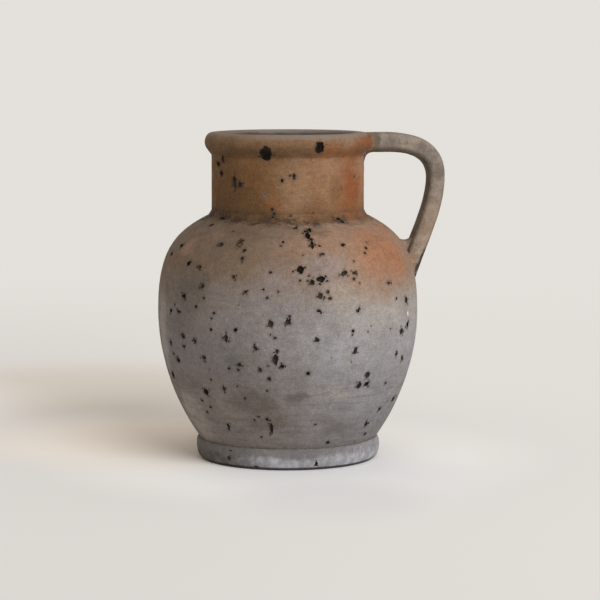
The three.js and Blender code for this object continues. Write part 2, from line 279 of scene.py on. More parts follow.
class Bench:
    """Lays out the nodes of one tree. An input takes a plain value or another node's output."""

    def __init__(self, tree):
        self.tree = tree

    def socket(self, sockets, key):
        if isinstance(key, int):
            return sockets[key]
        usable = [socket for socket in sockets if socket.enabled]
        return next(socket for socket in usable if key in (socket.identifier, socket.name))

    def add(self, kind, values=None, out=0, **settings):
        node = self.tree.nodes.new(kind)
        for name, setting in settings.items():
            setattr(node, name, setting)
        for key, value in (values or {}).items():
            socket = self.socket(node.inputs, key)
            if isinstance(value, bpy.types.NodeSocket):
                self.tree.links.new(value, socket)
            else:
                socket.default_value = value
        return node if out is None else self.socket(node.outputs, out)

    def maths(self, operation, *values):
        return self.add("ShaderNodeMath", dict(enumerate(values)), operation=operation)

    def plus(self, first, second):
        return self.maths("ADD", first, second)

    def minus(self, first, second):
        return self.maths("SUBTRACT", first, second)

    def times(self, product, *factors):
        for factor in factors:
            product = self.maths("MULTIPLY", product, factor)
        return product

    def times_plus(self, first, second, third):
        return self.maths("MULTIPLY_ADD", first, second, third)

    def vector_maths(self, operation, *values, out=0, scale=None):
        inputs = dict(enumerate(values))
        if scale is not None:
            inputs["Scale"] = scale
        return self.add("ShaderNodeVectorMath", inputs, out, operation=operation)

    def scaled(self, vector, scale):
        return self.vector_maths("SCALE", vector, scale=scale)

    def length(self, vector):
        return self.vector_maths("LENGTH", vector, out="Value")

    def stretched(self, place, upward):
        """The place with its height scaled."""
        return self.vector_maths("MULTIPLY", place, (1.0, 1.0, upward))

    def noise(self, place, noise, out=0):
        if noise.level != 1:
            place = self.stretched(place, noise.level)
        values = {
            "Vector": place,
            "W": noise.seed,
            "Scale": noise.scale,
            "Detail": noise.detail,
            "Roughness": noise.roughness,
        }
        return self.add("ShaderNodeTexNoise", values, out, noise_dimensions="4D")

    def spread(self, value, low, high, first=0.0, last=1.0, shape="SMOOTHSTEP"):
        """From first to last as the value runs from low to high, which may lie either way."""
        values = {0: value, 1: low, 2: high, 3: first, 4: last}
        return self.add("ShaderNodeMapRange", values, interpolation_type=shape)

    def fade(self, length, low, high, first=0.0, last=1.0):
        """The same for a length, from low to high in millimetres."""
        return self.spread(length, low * MM, high * MM, first, last)

    def clouds(self, place, noise, shape="SMOOTHSTEP"):
        """The noise, spread by its edges."""
        return self.spread(self.noise(place, noise), *noise.edges, shape=shape)

    def parts(self, vector):
        return self.add("ShaderNodeSeparateXYZ", {0: vector}, out=None).outputs

    def blend(self, share, under, over, mode="MIX"):
        values = {"Factor_Float": share, "A_Color": under, "B_Color": over}
        return self.add(
            "ShaderNodeMix", values, "Result_Color", data_type="RGBA", blend_type=mode
        )

    def ramp(self, value, stops):
        """A colour between the stops, which are (value, colour) in rising order."""
        node = self.add("ShaderNodeValToRGB", {0: value}, out=None)
        ramp = node.color_ramp
        while len(ramp.elements) < len(stops):
            ramp.elements.new(1.0)
        for element, (position, colour) in zip(ramp.elements, stops):
            element.position = position
            element.color = colour
        return node.outputs["Color"]

    def measured(self, name):
        """A value that the mesh carries, as a material reads it."""
        return self.add(
            "ShaderNodeAttribute", out="Fac", attribute_type="GEOMETRY", attribute_name=name
        )

    def carried(self, name, kind="FLOAT"):
        """A value that the points carry, as a geometry tree reads it."""
        return self.add("GeometryNodeInputNamedAttribute", {"Name": name}, data_type=kind)

    def stored(self, geometry, name, value):
        values = {"Geometry": geometry, "Name": name, "Value": value}
        return self.add("GeometryNodeStoreNamedAttribute", values)

    def of_object(self, guide):
        return self.add("GeometryNodeObjectInfo", {"Object": guide}, out="Geometry")

    def moved(self, geometry, **values):
        """The geometry at a new Position, or shifted by an Offset."""
        return self.add("GeometryNodeSetPosition", {"Geometry": geometry, **values})

    def welded(self, geometry):
        values = {"Geometry": geometry, "Distance": WELD * MM}
        return self.add("GeometryNodeMergeByDistance", values)

    def faced(self, geometry, material):
        values = {"Geometry": geometry, "Material": material}
        return self.add("GeometryNodeSetMaterial", values)

    def carved(self, geometry, cutter):
        return self.add(
            "GeometryNodeMeshBoolean",
            {"Mesh 1": geometry, "Mesh 2": cutter},
            operation="DIFFERENCE",
            solver="MANIFOLD",
        )

    def swept(self, geometry, upward, section):
        """A section swept along the carrier's line, as full as the line says."""
        line = self.add("GeometryNodeMeshToCurve", {0: geometry})
        line = self.add(
            "GeometryNodeSetCurveNormal", {"Curve": line, "Normal": upward}, mode="FREE"
        )
        values = {
            "Curve": line,
            "Profile Curve": section,
            "Scale": self.carried("fullness"),
            "Fill Caps": True,
        }
        return self.welded(self.add("GeometryNodeCurveToMesh", values))


def new_tree(name, **inputs):
    """The bench of a new geometry tree, and what its inputs give. They are listed by kind."""
    tree = bpy.data.node_groups.new(name, "GeometryNodeTree")
    tree.interface.new_socket("Geometry", in_out="OUTPUT", socket_type="NodeSocketGeometry")
    tree.interface.new_socket("Geometry", in_out="INPUT", socket_type="NodeSocketGeometry")
    for kind, labels in inputs.items():
        for label in labels:
            tree.interface.new_socket(label, in_out="INPUT", socket_type="NodeSocket" + kind)
    bench = Bench(tree)
    given = bench.add("NodeGroupInput", out=None).outputs
    return bench, given


def close_tree(bench, geometry):
    bench.add("NodeGroupOutput", {0: geometry}, out=None)
    return bench.tree


def dress(carrier, tree, **values):
    """Puts a tree on an object, with its named inputs set through their identifiers."""
    modifier = carrier.modifiers.new(tree.name, "NODES")
    modifier.node_group = tree
    for item in tree.interface.items_tree:
        key = item.name.replace(" ", "_").lower()
        if item.in_out == "INPUT" and key in values:
            modifier[item.identifier] = values[key]


def carrier_of(name, points, edges=()):
    mesh = bpy.data.meshes.new(name)
    mesh.from_pydata([tuple(point) for point in points], list(edges), [])
    carrier = bpy.data.objects.new(name, mesh)
    bpy.context.scene.collection.objects.link(carrier)
    return carrier


def line_of(name, points, fullness):
    """A line that a section is swept along, with how full it is at each point."""
    carrier = carrier_of(name, points, [(i, i + 1) for i in range(len(points) - 1)])
    share = carrier.data.attributes.new("fullness", "FLOAT", "POINT")
    share.data.foreach_set("value", fullness)
    return carrier


def settle(carrier, name):
    """The carrier's finished geometry as a plain mesh object. The carrier goes."""
    depsgraph = bpy.context.evaluated_depsgraph_get()
    mesh = bpy.data.meshes.new_from_object(carrier.evaluated_get(depsgraph), depsgraph=depsgraph)
    bpy.data.objects.remove(carrier)
    for index in reversed(range(len(mesh.materials))):
        if mesh.materials[index] is None:
            mesh.materials.pop(index=index)
    mesh.name = name
    piece = bpy.data.objects.new(name, mesh)
    bpy.context.scene.collection.objects.link(piece)
    return piece


# How the hand and the fire left the clay uneven: slow and quicker swells, and a grain
SLOW_SWELL = Noise(11, 3, 1)
MIDDLE_SWELL = Noise(42, 7, 1)
CLAY_GRAIN = Noise(230, 9)
SLOW_SHARE = 0.6
SWELL_EDGES = (0.33, 0.67)


def level_way(bench, place):
    """The level direction away from the upright axis."""
    return bench.vector_maths("NORMALIZE", bench.stretched(place, 0))


def uneven_offset(bench, place, unevenness, grain):
    """How far the hand and the fire have moved the clay inwards, at a place."""
    slow = bench.noise(place, SLOW_SWELL)
    middle = bench.noise(place, MIDDLE_SWELL)
    swell = bench.times_plus(slow, SLOW_SHARE, bench.times(middle, 1 - SLOW_SHARE))
    swell = bench.spread(swell, *SWELL_EDGES, shape="LINEAR")
    fine = bench.times(bench.clouds(place, CLAY_GRAIN, "LINEAR"), grain)
    return bench.times_plus(swell, unevenness, fine)


def worn(bench, geometry, way, unevenness, grain):
    """The geometry moved in against a way that points out of it, by its unevenness."""
    place = bench.add("GeometryNodeInputPosition")
    inward = bench.times(uneven_offset(bench, place, unevenness, grain), -1)
    return bench.moved(geometry, Offset=bench.scaled(way, inward))


def turning_tree():
    """Turns a closed profile of points round the upright axis and makes it slightly uneven."""
    bench, given = new_tree(
        "turned_clay", Int=["Facets"], Float=["Unevenness", "Grain"], Material=["Clay"]
    )
    count = bench.add("GeometryNodeAttributeDomainSize", {"Geometry": given["Geometry"]})
    columns = bench.plus(given["Facets"], 1)
    grid = bench.add("GeometryNodeMeshGrid", {"Vertices X": columns, "Vertices Y": count})
    index = bench.add("GeometryNodeInputIndex")
    along = bench.maths("MODULO", index, count)
    turn = bench.maths("FLOOR", bench.maths("DIVIDE", bench.plus(index, 0.5), count))
    place = bench.add("GeometryNodeInputPosition")
    sampled = bench.add(
        "GeometryNodeSampleIndex",
        {"Geometry": given["Geometry"], "Value": place, "Index": along},
        data_type="FLOAT_VECTOR",
    )
    radius, _, height = bench.parts(sampled)
    angle = bench.maths("DIVIDE", bench.times(turn, math.tau), given["Facets"])
    across = bench.times(radius, bench.maths("COSINE", angle))
    deep = bench.times(radius, bench.maths("SINE", angle))
    spun = bench.add("ShaderNodeCombineXYZ", {0: across, 1: deep, 2: height})
    wall = bench.welded(bench.moved(grid, Position=spun))
    wall = worn(bench, wall, level_way(bench, place), given["Unevenness"], given["Grain"])
    return close_tree(bench, bench.faced(wall, given["Clay"]))


def core_object(name, distance):
    """Everything inside the jar's outer surface, grown by a distance, as a guide."""
    outline = np.vstack([WALL_OUTLINE, [NECK_RADIUS, NECK_FOOT_HEIGHT + CORE_STEP_UP], rim_outline()])
    outline = shifted(outline, distance)
    profile = np.vstack([[0, outline[0][1]], spaced(outline, CORE_STEP), [0, outline[-1][1]]])
    carrier = carrier_of(name, [(r * MM, 0, z * MM) for r, z in profile])
    dress(carrier, TURNING, facets=CORE_FACETS, unevenness=0.0, grain=0.0, clay=None)
    return settle(carrier, name)


def sharpen(bench, geometry, corner):
    """Smooth shading, except along edges that turn more than the corner angle."""
    smooth = bench.add(
        "GeometryNodeSetShadeSmooth", {"Geometry": geometry, "Shade Smooth": True}
    )
    turn = bench.add("GeometryNodeInputMeshEdgeAngle")
    crease = bench.maths("GREATER_THAN", turn, corner)
    return bench.add(
        "GeometryNodeSetShadeSmooth",
        {"Geometry": smooth, "Selection": crease, "Shade Smooth": False},
        domain="EDGE",
    )


# Lumps that burnt out of the clay: shapes, then how finely each kind is cut and how ragged it is
LUMP_SHAPES = 5
LUMP_WIDE_SHAPES = 4
SMALL_LUMP = (2, 0.5)
WIDE_LUMP = (4, 0.75)
LUMP_NOISE = Noise(2.8, 1.7, 3, 0.6)
LUMP_SEED_STEP = 5.3
SINGE_WIDTH = 1.8
SINGE_DEPTH = 0.75


def lump(bench, shape, subdivisions, ragged, scorch):
    """One rough lump of a burnt-out inclusion, about one unit across."""
    ball = bench.add("GeometryNodeMeshIcoSphere", {"Radius": 0.5, "Subdivisions": subdivisions})
    place = bench.add("GeometryNodeInputPosition")
    normal = bench.add("GeometryNodeInputNormal")
    noise = LUMP_NOISE._replace(seed=shape * LUMP_SEED_STEP + LUMP_NOISE.seed)
    amount = bench.times(bench.minus(bench.noise(place, noise), 0.5), ragged)
    rough = bench.moved(ball, Offset=bench.scaled(normal, amount))
    rough = bench.faced(rough, scorch)
    return bench.add("GeometryNodeGeometryToInstance", {"Geometry": rough})


def singe_round(bench, pits):
    """How singed the clay is at a place: most at the edge of the nearest pit, soon nothing."""
    place = bench.add("GeometryNodeInputPosition")
    nearest = bench.add("GeometryNodeSampleNearest", {"Geometry": pits})
    centre, size = (
        bench.add(
            "GeometryNodeSampleIndex",
            {"Geometry": pits, "Value": value, "Index": nearest},
            data_type="FLOAT_VECTOR",
        )
        for value in (place, bench.carried("size", "FLOAT_VECTOR"))
    )
    width, height, _ = bench.parts(size)
    mean_radius = bench.times(bench.plus(width, height), 0.25)
    away = bench.vector_maths("DISTANCE", place, centre, out="Value")
    return bench.fade(bench.minus(away, mean_radius), SINGE_WIDTH, 0, 0.0, SINGE_DEPTH)


def pitting_tree():
    """Sinks rough lumps into the clay at every point of the pit map."""
    bench, given = new_tree(
        "burnt_out_pits", Object=["Pits"], Float=["Corner"], Material=["Scorch"]
    )
    kinds = bench.add("GeometryNodeJoinGeometry", out=None)
    for shape in reversed(range(LUMP_SHAPES + LUMP_WIDE_SHAPES)):
        kind = WIDE_LUMP if shape >= LUMP_SHAPES else SMALL_LUMP
        made = lump(bench, shape, *kind, given["Scorch"])
        bench.tree.links.new(made, kinds.inputs[0])
    pits = bench.of_object(given["Pits"])
    turn = bench.add("FunctionNodeEulerToRotation", {0: bench.carried("turn", "FLOAT_VECTOR")})
    lumps = bench.add(
        "GeometryNodeInstanceOnPoints",
        {
            "Points": pits,
            "Instance": kinds.outputs[0],
            "Pick Instance": True,
            "Instance Index": bench.carried("shape", "INT"),
            "Rotation": turn,
            "Scale": bench.carried("size", "FLOAT_VECTOR"),
        },
    )
    pitted = bench.carved(given["Geometry"], lumps)
    pitted = bench.add("GeometryNodeRealizeInstances", {"Geometry": pitted})
    pitted = bench.stored(pitted, "singe", singe_round(bench, pits))
    return close_tree(bench, sharpen(bench, pitted, given["Corner"]))


# Camera and the places that it sees

def make_camera():
    data = bpy.data.cameras.new("camera")
    data.lens = LENS
    data.sensor_width = SENSOR
    turn = math.radians(CAMERA_TURN)
    camera = bpy.data.objects.new("camera", data)
    camera.location = (
        CAMERA_DISTANCE * math.sin(turn),
        -CAMERA_DISTANCE * math.cos(turn),
        CAMERA_HEIGHT,
    )
    camera.rotation_euler = (
        math.radians(90 - CAMERA_TILT),
        0,
        math.radians(CAMERA_TURN - CAMERA_PAN),
    )
    bpy.context.scene.collection.objects.link(camera)
    bpy.context.scene.camera = camera
    bpy.context.view_layer.update()
    return camera


# A pit in the photo: the column and row of its middle and its size in pixels, its lean in degrees
Pit = namedtuple("Pit", "column row width height lean", defaults=(0,))

RIM_PITS = [
    Pit(266, 154, 12, 15), Pit(320, 148, 10, 12),
]
NECK_PITS = [
    Pit(222.5, 159, 2.5, 8), Pit(218, 164, 3, 5), Pit(221, 173, 2.5, 6), Pit(234, 182, 4, 12),
    Pit(239.5, 184.5, 5, 6), Pit(282, 180.5, 3, 4), Pit(294, 176, 3, 5), Pit(290, 176, 2, 2),
    Pit(354.5, 176.5, 1.5, 1.5), Pit(272, 209.5, 3, 3), Pit(274, 214, 3, 3), Pit(273, 218, 4, 4),
    Pit(222.5, 218.5, 5, 3), Pit(291.5, 219, 5, 5), Pit(338, 219, 4, 3), Pit(342.5, 222, 4, 4),
    Pit(343, 217.5, 3, 3),
]
SHOULDER_PITS = [
    Pit(211.5, 225, 3, 3), Pit(233, 231, 2, 2), Pit(221, 244.5, 5, 4, 45),
    Pit(240, 242, 4, 6, -30), Pit(244.5, 250.5, 3.5, 3.5), Pit(242, 258.5, 3, 4),
    Pit(242, 262, 1.5, 1.5), Pit(181.5, 245.5, 3, 3.5), Pit(171.5, 253.5, 2, 4),
    Pit(188.5, 263.5, 3.5, 4), Pit(199.5, 267, 4, 4), Pit(283, 242, 3, 2.5), Pit(281, 246, 2, 2),
    Pit(296, 228, 3, 3), Pit(307.5, 236, 6, 6), Pit(309.5, 230, 4, 4), Pit(305, 231.5, 3, 3),
    Pit(311, 239.5, 4, 3), Pit(312, 244.5, 4, 8), Pit(319.5, 246, 2.5, 2.5),
    Pit(322.5, 254, 4.5, 3), Pit(342.5, 245, 3.5, 4), Pit(366, 248, 3, 3), Pit(365, 253, 2.5, 2.5),
    Pit(366.5, 242, 1.5, 1.5), Pit(303, 255, 1.5, 1.5), Pit(300.5, 269.5, 7.5, 7.5),
    Pit(293, 271.5, 2, 2), Pit(312, 282, 6, 5, 40), Pit(321, 279, 9, 6), Pit(308.5, 276, 3, 1.5),
    Pit(300, 280.5, 2.5, 2.5), Pit(344.5, 273, 7.5, 4, 20), Pit(354, 273, 4, 3.5),
    Pit(354, 279, 3, 3), Pit(354, 261, 2, 2), Pit(360, 283, 1.5, 1.5), Pit(389, 283, 4, 2),
]
LEFT_BELLY_PITS = [
    Pit(233.5, 277, 3.5, 4.5), Pit(202.5, 286.5, 3, 4.5), Pit(184, 296, 3, 5),
    Pit(178.5, 311.5, 3, 3), Pit(171, 310.5, 2.5, 4), Pit(174.5, 304.5, 1.5, 1.5),
    Pit(196, 306.5, 3, 3), Pit(204, 298, 2, 2), Pit(245.5, 292, 4.5, 3, 30),
    Pit(263.5, 289.5, 2.5, 2.5), Pit(270.5, 272.5, 3, 2.5), Pit(267, 298, 3, 3),
    Pit(278.5, 292, 1.5, 2.5), Pit(214, 313, 2.5, 2.5), Pit(211.5, 318.5, 1.5, 1.5),
    Pit(211, 329.5, 3, 3.5), Pit(235.5, 330, 4, 4), Pit(226, 338, 4, 8), Pit(270.5, 324, 6, 6),
    Pit(288, 322, 6, 5), Pit(289.5, 317, 2, 5), Pit(275, 338, 3, 3), Pit(270.5, 335, 2, 2),
    Pit(195, 341.5, 3, 4.5), Pit(183, 336.5, 2.5, 4), Pit(184, 346.5, 3, 3), Pit(171, 343.5, 2, 5),
    Pit(173.5, 353.5, 2, 2), Pit(178.5, 360, 3, 4.5), Pit(204, 357.5, 4, 4.5),
    Pit(255.5, 348.5, 3.5, 5.5, 30), Pit(277, 351, 4, 4), Pit(275.5, 359.5, 6, 11),
    Pit(282, 366.5, 5, 4), Pit(268, 366, 1.5, 1.5), Pit(239.5, 365, 4.5, 4),
    Pit(238.5, 370, 2.5, 3), Pit(229, 368.5, 3, 2.5), Pit(260, 370, 4, 5), Pit(269, 379, 4, 4),
    Pit(267, 391, 2, 2), Pit(173, 375, 3, 7), Pit(211, 380, 2, 2), Pit(206, 391.5, 5.5, 6),
    Pit(224, 389, 3, 5), Pit(202, 400.5, 2.5, 2.5),
]
RIGHT_BELLY_PITS = [
    Pit(320.5, 296, 5.5, 6), Pit(328, 292, 3.5, 3.5), Pit(330, 298.5, 4, 3.5),
    Pit(319, 311, 4.5, 3), Pit(358.5, 310.5, 2, 5), Pit(353, 331, 3, 3.5), Pit(352.5, 335, 2, 2),
    Pit(317, 340, 5, 4.5), Pit(355.5, 350.5, 4, 7), Pit(396.5, 298.5, 1.5, 3),
    Pit(406.5, 300, 3, 6), Pit(407.5, 324.5, 3, 5), Pit(401.5, 331, 3.5, 6), Pit(396.5, 354, 3, 4),
    Pit(402, 358, 2.5, 4), Pit(367.5, 375, 5, 6, 45), Pit(359, 385.5, 4, 6, -30),
    Pit(366.5, 384, 5, 4), Pit(385.5, 383, 2, 3), Pit(308, 373.5, 4, 4), Pit(393, 399, 3, 5),
    Pit(390.5, 328.5, 1.5, 1.5), Pit(368, 331.5, 1.5, 1.5),
]
LOW_PITS = [
    Pit(210.5, 407, 2.5, 2.5), Pit(207, 412, 2, 2), Pit(245, 398.5, 2, 2),
    Pit(237.5, 386, 1.5, 1.5), Pit(228.5, 426, 2.5, 6), Pit(271.5, 428, 4, 10),
    Pit(261.5, 437, 2, 2), Pit(315.5, 424.5, 3, 1.5), Pit(366, 424, 3, 5), Pit(365, 433.5, 3, 2),
    Pit(379.5, 409, 3, 4), Pit(327.5, 442.5, 4, 3), Pit(254.5, 420, 2, 2), Pit(258.5, 417, 3, 2),
    Pit(267, 419.5, 3, 3), Pit(228.5, 458.5, 3.5, 5), Pit(256, 467, 5, 2.5),
    Pit(316.5, 463.5, 3, 4), Pit(230, 450.5, 4, 2),
]

PIT_SEED = 41
WIDE_PIT = 5.0
CRUMBLY_PIT = 3.8
PIT_DEPTH_SHARE = 0.8
DEEPEST_PIT = 7.0
PIT_SINK = 0.12
STEEPEST_VIEW = 0.35

# Crumbs that fell out beside a wide pit: from and below how many, how far off, how big
PIT_CRUMBS = (2, 6)
PIT_CRUMB_DISTANCE = (0.55, 0.85)
PIT_CRUMB_SIZE = (0.9, 1.8)
PIT_CRUMB_STRETCH = (0.8, 1.5)

# Pits on the side that the photo doesn't show: lowest, highest and commonest height, then shapes
HIDDEN_PITS = 210
HIDDEN_PIT_HEIGHTS = (2, JAR_HEIGHT - 4, 165)
HIDDEN_PIT_SIZE = 2.7
HIDDEN_PIT_SPREAD = 0.42
HIDDEN_PIT_STRETCH = (0.7, 1.7)
HIDDEN_PIT_LEAN = (-0.6, 0.6)
EDGE_OF_VIEW = 0.06
CAST_RADIUS = 400
PITTED_WALLS = ("rim_roll", "neck_collar", "shoulder_wall", "lower_wall", "foot_roll")


def wall_axes(normal):
    """The level and the upward direction along a wall with this normal."""
    level = Vector((-normal.y, normal.x, 0)).normalized()
    return level, normal.cross(level)


class PitMap:
    """Collects pits as points on the solids, with each lump's size and turn."""

    def __init__(self, camera):
        self.camera = camera
        self.random = random.Random(PIT_SEED)
        self.places = []
        self.sizes = []
        self.turns = []
        self.shapes = []
        depsgraph = bpy.context.evaluated_depsgraph_get()
        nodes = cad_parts
        self.walls = [BVHTree.FromObject(nodes[name], depsgraph) for name in PITTED_WALLS]
        self.handle = BVHTree.FromObject(nodes["handle_strap"], depsgraph)

    def cast(self, origin, direction):
        """Where a ray meets the jar's wall, unless the handle is in front of it."""
        hits = [wall.ray_cast(origin, direction) for wall in self.walls]
        hits = [hit for hit in hits if hit[0] is not None]
        if not hits:
            return None
        place, normal, _, distance = min(hits, key=lambda hit: hit[3])
        in_front = self.handle.ray_cast(origin, direction)
        if in_front[0] is not None and in_front[3] < distance:
            return None
        return place, normal

    def sink(self, place, normal, width, height, spin):
        """Records one pit: width runs level round the jar, height up its wall."""
        depth = min(PIT_DEPTH_SHARE * math.sqrt(width * height), DEEPEST_PIT)
        axes = Matrix((*wall_axes(normal), normal)).transposed()
        turn = (axes @ Matrix.Rotation(spin, 3, "Z")).to_euler()
        wide = max(width, height) > WIDE_PIT
        shapes = (LUMP_SHAPES, LUMP_WIDE_SHAPES)[wide]
        self.places.append(place - normal * depth * PIT_SINK * MM)
        self.sizes.append(Vector((width, height, depth)) * MM)
        self.turns.append(Vector(turn))
        self.shapes.append(self.random.randrange(shapes) + (LUMP_SHAPES if wide else 0))

    def from_photo(self, pit):
        """A pit that the photo shows, on the wall that the camera sees there."""
        origin = self.camera.matrix_world.translation
        middle = IMAGE_SIDE / 2
        aim = Vector(
            ((pit.column - middle) / FOCAL_PIXELS, (middle - pit.row) / FOCAL_PIXELS, -1)
        )
        direction = (self.camera.matrix_world.to_3x3() @ aim).normalized()
        hit = self.cast(origin, direction)
        if hit is None:
            return
        place, normal = hit
        size = (place - origin).length / FOCAL_PIXELS / MM
        seen = [
            max(STEEPEST_VIEW, math.sqrt(1 - axis.dot(direction) ** 2))
            for axis in wall_axes(normal)
        ]
        width = pit.width * size / seen[0]
        height = pit.height * size / seen[1]
        self.sink(place, normal, width, height, math.radians(pit.lean))
        if max(width, height) > CRUMBLY_PIT:
            self.crumble(place, normal, width, height)

    def crumble(self, place, normal, width, height):
        level, upward = wall_axes(normal)
        for _ in range(self.random.randrange(*PIT_CRUMBS)):
            turn = self.random.uniform(0, math.tau)
            away = self.random.uniform(*PIT_CRUMB_DISTANCE)
            shift = level * math.cos(turn) * width + upward * math.sin(turn) * height
            size = self.random.uniform(*PIT_CRUMB_SIZE)
            tall = size * self.random.uniform(*PIT_CRUMB_STRETCH)
            self.sink(place + shift * away * MM, normal, size, tall, turn)

    def out_of_view(self):
        """Pits like those in the photo, on the side that it doesn't show."""
        facing = math.atan2(self.camera.location.y, self.camera.location.x)
        made = 0
        while made < HIDDEN_PITS:
            turn = self.random.uniform(0, math.tau)
            height = self.random.triangular(*HIDDEN_PIT_HEIGHTS)
            width = self.random.lognormvariate(math.log(HIDDEN_PIT_SIZE), HIDDEN_PIT_SPREAD)
            tall = width * self.random.uniform(*HIDDEN_PIT_STRETCH)
            spin = self.random.uniform(*HIDDEN_PIT_LEAN)
            if math.cos(turn - facing) > EDGE_OF_VIEW:
                continue
            side = Vector((math.cos(turn), math.sin(turn), 0))
            hit = self.cast(side * CAST_RADIUS * MM + Vector((0, 0, height * MM)), -side)
            if hit is None:
                continue
            self.sink(*hit, width, tall, spin)
            made += 1

    def as_object(self):
        points = carrier_of("pit_map", self.places)
        columns = {
            "size": ("FLOAT_VECTOR", "vector", self.sizes),
            "turn": ("FLOAT_VECTOR", "vector", self.turns),
            "shape": ("INT", "value", self.shapes),
        }
        for name, (kind, field, values) in columns.items():
            attribute = points.data.attributes.new(name, kind, "POINT")
            attribute.data.foreach_set(field, np.array(values).ravel())
        return points


def make_pit_map(camera):
    pits = PitMap(camera)
    for pit in RIM_PITS + NECK_PITS + SHOULDER_PITS + LEFT_BELLY_PITS + RIGHT_BELLY_PITS + LOW_PITS:
        pits.from_photo(pit)
    pits.out_of_view()
    return pits.as_object()


# Materials

def srgb(red, green, blue):
    """A colour as read on a screen, out of 255, as the light that it stands for."""
    def light(value):
        value /= 255
        return value / 12.92 if value <= 0.04045 else ((value + 0.055) / 1.055) ** 2.4
    return (light(red), light(green), light(blue), 1)


# Oxidised clay
SAND = srgb(150, 122, 98)
ROSE_CLAY = srgb(140, 110, 94)
BRIGHT_TERRACOTTA = srgb(158, 106, 74)
TERRACOTTA = srgb(152, 106, 78)
BURNT_ORANGE = srgb(138, 88, 52)
ORANGE_RUST = srgb(132, 73, 34)
DULL_RUST = srgb(124, 78, 47)
RUST = srgb(124, 70, 36)
BROWN_OCHRE = srgb(104, 70, 38)
UMBER = srgb(92, 68, 46)
NECK_FOOT_BROWN = srgb(74, 54, 34)
BURNT_BROWN = srgb(52, 36, 24)

# Ash. A pair holds both ends of a cloud
PALE_ASH = srgb(160, 152, 144)
# Painted reflection: warm pale light low on the belly's left edge
WARM_PAINTED_REFLECTION = srgb(148, 141, 135)
LILAC_ASH = srgb(138, 134, 136)
BLUE_ASH = srgb(136, 134, 138)
GREY_LILAC = srgb(134, 128, 130)
DUSKY_ASH = srgb(126, 119, 118)
LIP_ASH = srgb(126, 115, 107)
FOOT_ASH = (srgb(140, 140, 145), srgb(164, 164, 171))
FOOT_DULL_ASH = (srgb(98, 94, 92), srgb(124, 121, 120))
FOOT_TOP_ASH = srgb(104, 100, 99)
STRAP_ASH = (srgb(116, 106, 98), srgb(139, 128, 119))
STRAP_TAN = (srgb(136, 119, 105), srgb(158, 140, 124))

# Smoke and soot, the strap's painted shade and a painted highlight
INNER_CLAY = (srgb(96, 94, 95), srgb(112, 101, 92))
THROAT_CLAY = (srgb(94, 90, 89), srgb(66, 60, 57))
DARK_GREY = srgb(96, 91, 88)
WORN_GREY = srgb(96, 88, 83)
SMOKE = srgb(92, 86, 77)
OLIVE = srgb(88, 77, 56)
LOW_SMOKE = srgb(92, 83, 78)
LOWEST_SMOKE = srgb(92, 82, 75)
BELLY_SMOKE = srgb(90, 81, 75)
GREY_SMEAR = srgb(82, 75, 71)
BROWN_SMEAR = srgb(82, 69, 59)
# Painted shade for the strap's faces towards the jar and the floor
STRAP_PAINTED_SHADE = srgb(80, 72, 61)
SOOT = srgb(44, 37, 32)
CHAR = (srgb(34, 29, 26), srgb(68, 59, 52))
PAINTED_HIGHLIGHT_WHITE = srgb(231, 229, 226)

# The side that smoke reached and the side that stayed in clean fire, by height, with painted shade
# under the rim's roll
SMOKED_SIDE_WITH_PAINTED_SHADE = [
    (0, (108, 104, 101)),
    (24, (120, 113, 108)),
    (45, (117, 109, 103)),
    (72, (113, 106, 102)),
    (104, (115, 110, 110)),
    (140, (119, 112, 110)),
    (160, (108, 97, 88)),
    (178, (105, 89, 74)),
    (205, (107, 91, 77)),
    (213, (102, 86, 71)),
    (216, (80, 58, 35)),
    (232, (98, 69, 38)),
    (270, (104, 76, 48)),
    # painted shade under the rim's roll
    (276, (90, 64, 40)),
    (284, (106, 81, 57)),
    (290, (118, 94, 72)),
]
CLEAN_SIDE_WITH_PAINTED_SHADE = [
    (0, (124, 121, 120)),
    (40, (124, 120, 122)),
    (80, (135, 132, 134)),
    (116, (146, 143, 145)),
    (142, (147, 141, 138)),
    (158, (143, 126, 112)),
    (174, (142, 116, 97)),
    (205, (140, 113, 95)),
    (213, (138, 114, 97)),
    (216, (112, 80, 54)),
    (235, (143, 106, 77)),
    (270, (142, 108, 82)),
    # painted shade under the rim's roll
    (276, (108, 79, 54)),
    (283, (126, 95, 69)),
    (290, (132, 108, 88)),
]
SIDES = (-62, 58)

# A soft-edged mark of colour, most left by the fire and a few of painted light: turn in degrees from
# the front towards the handle, height
Mark = namedtuple("Mark", "turn height across tall colour strength core", defaults=(0.3,))

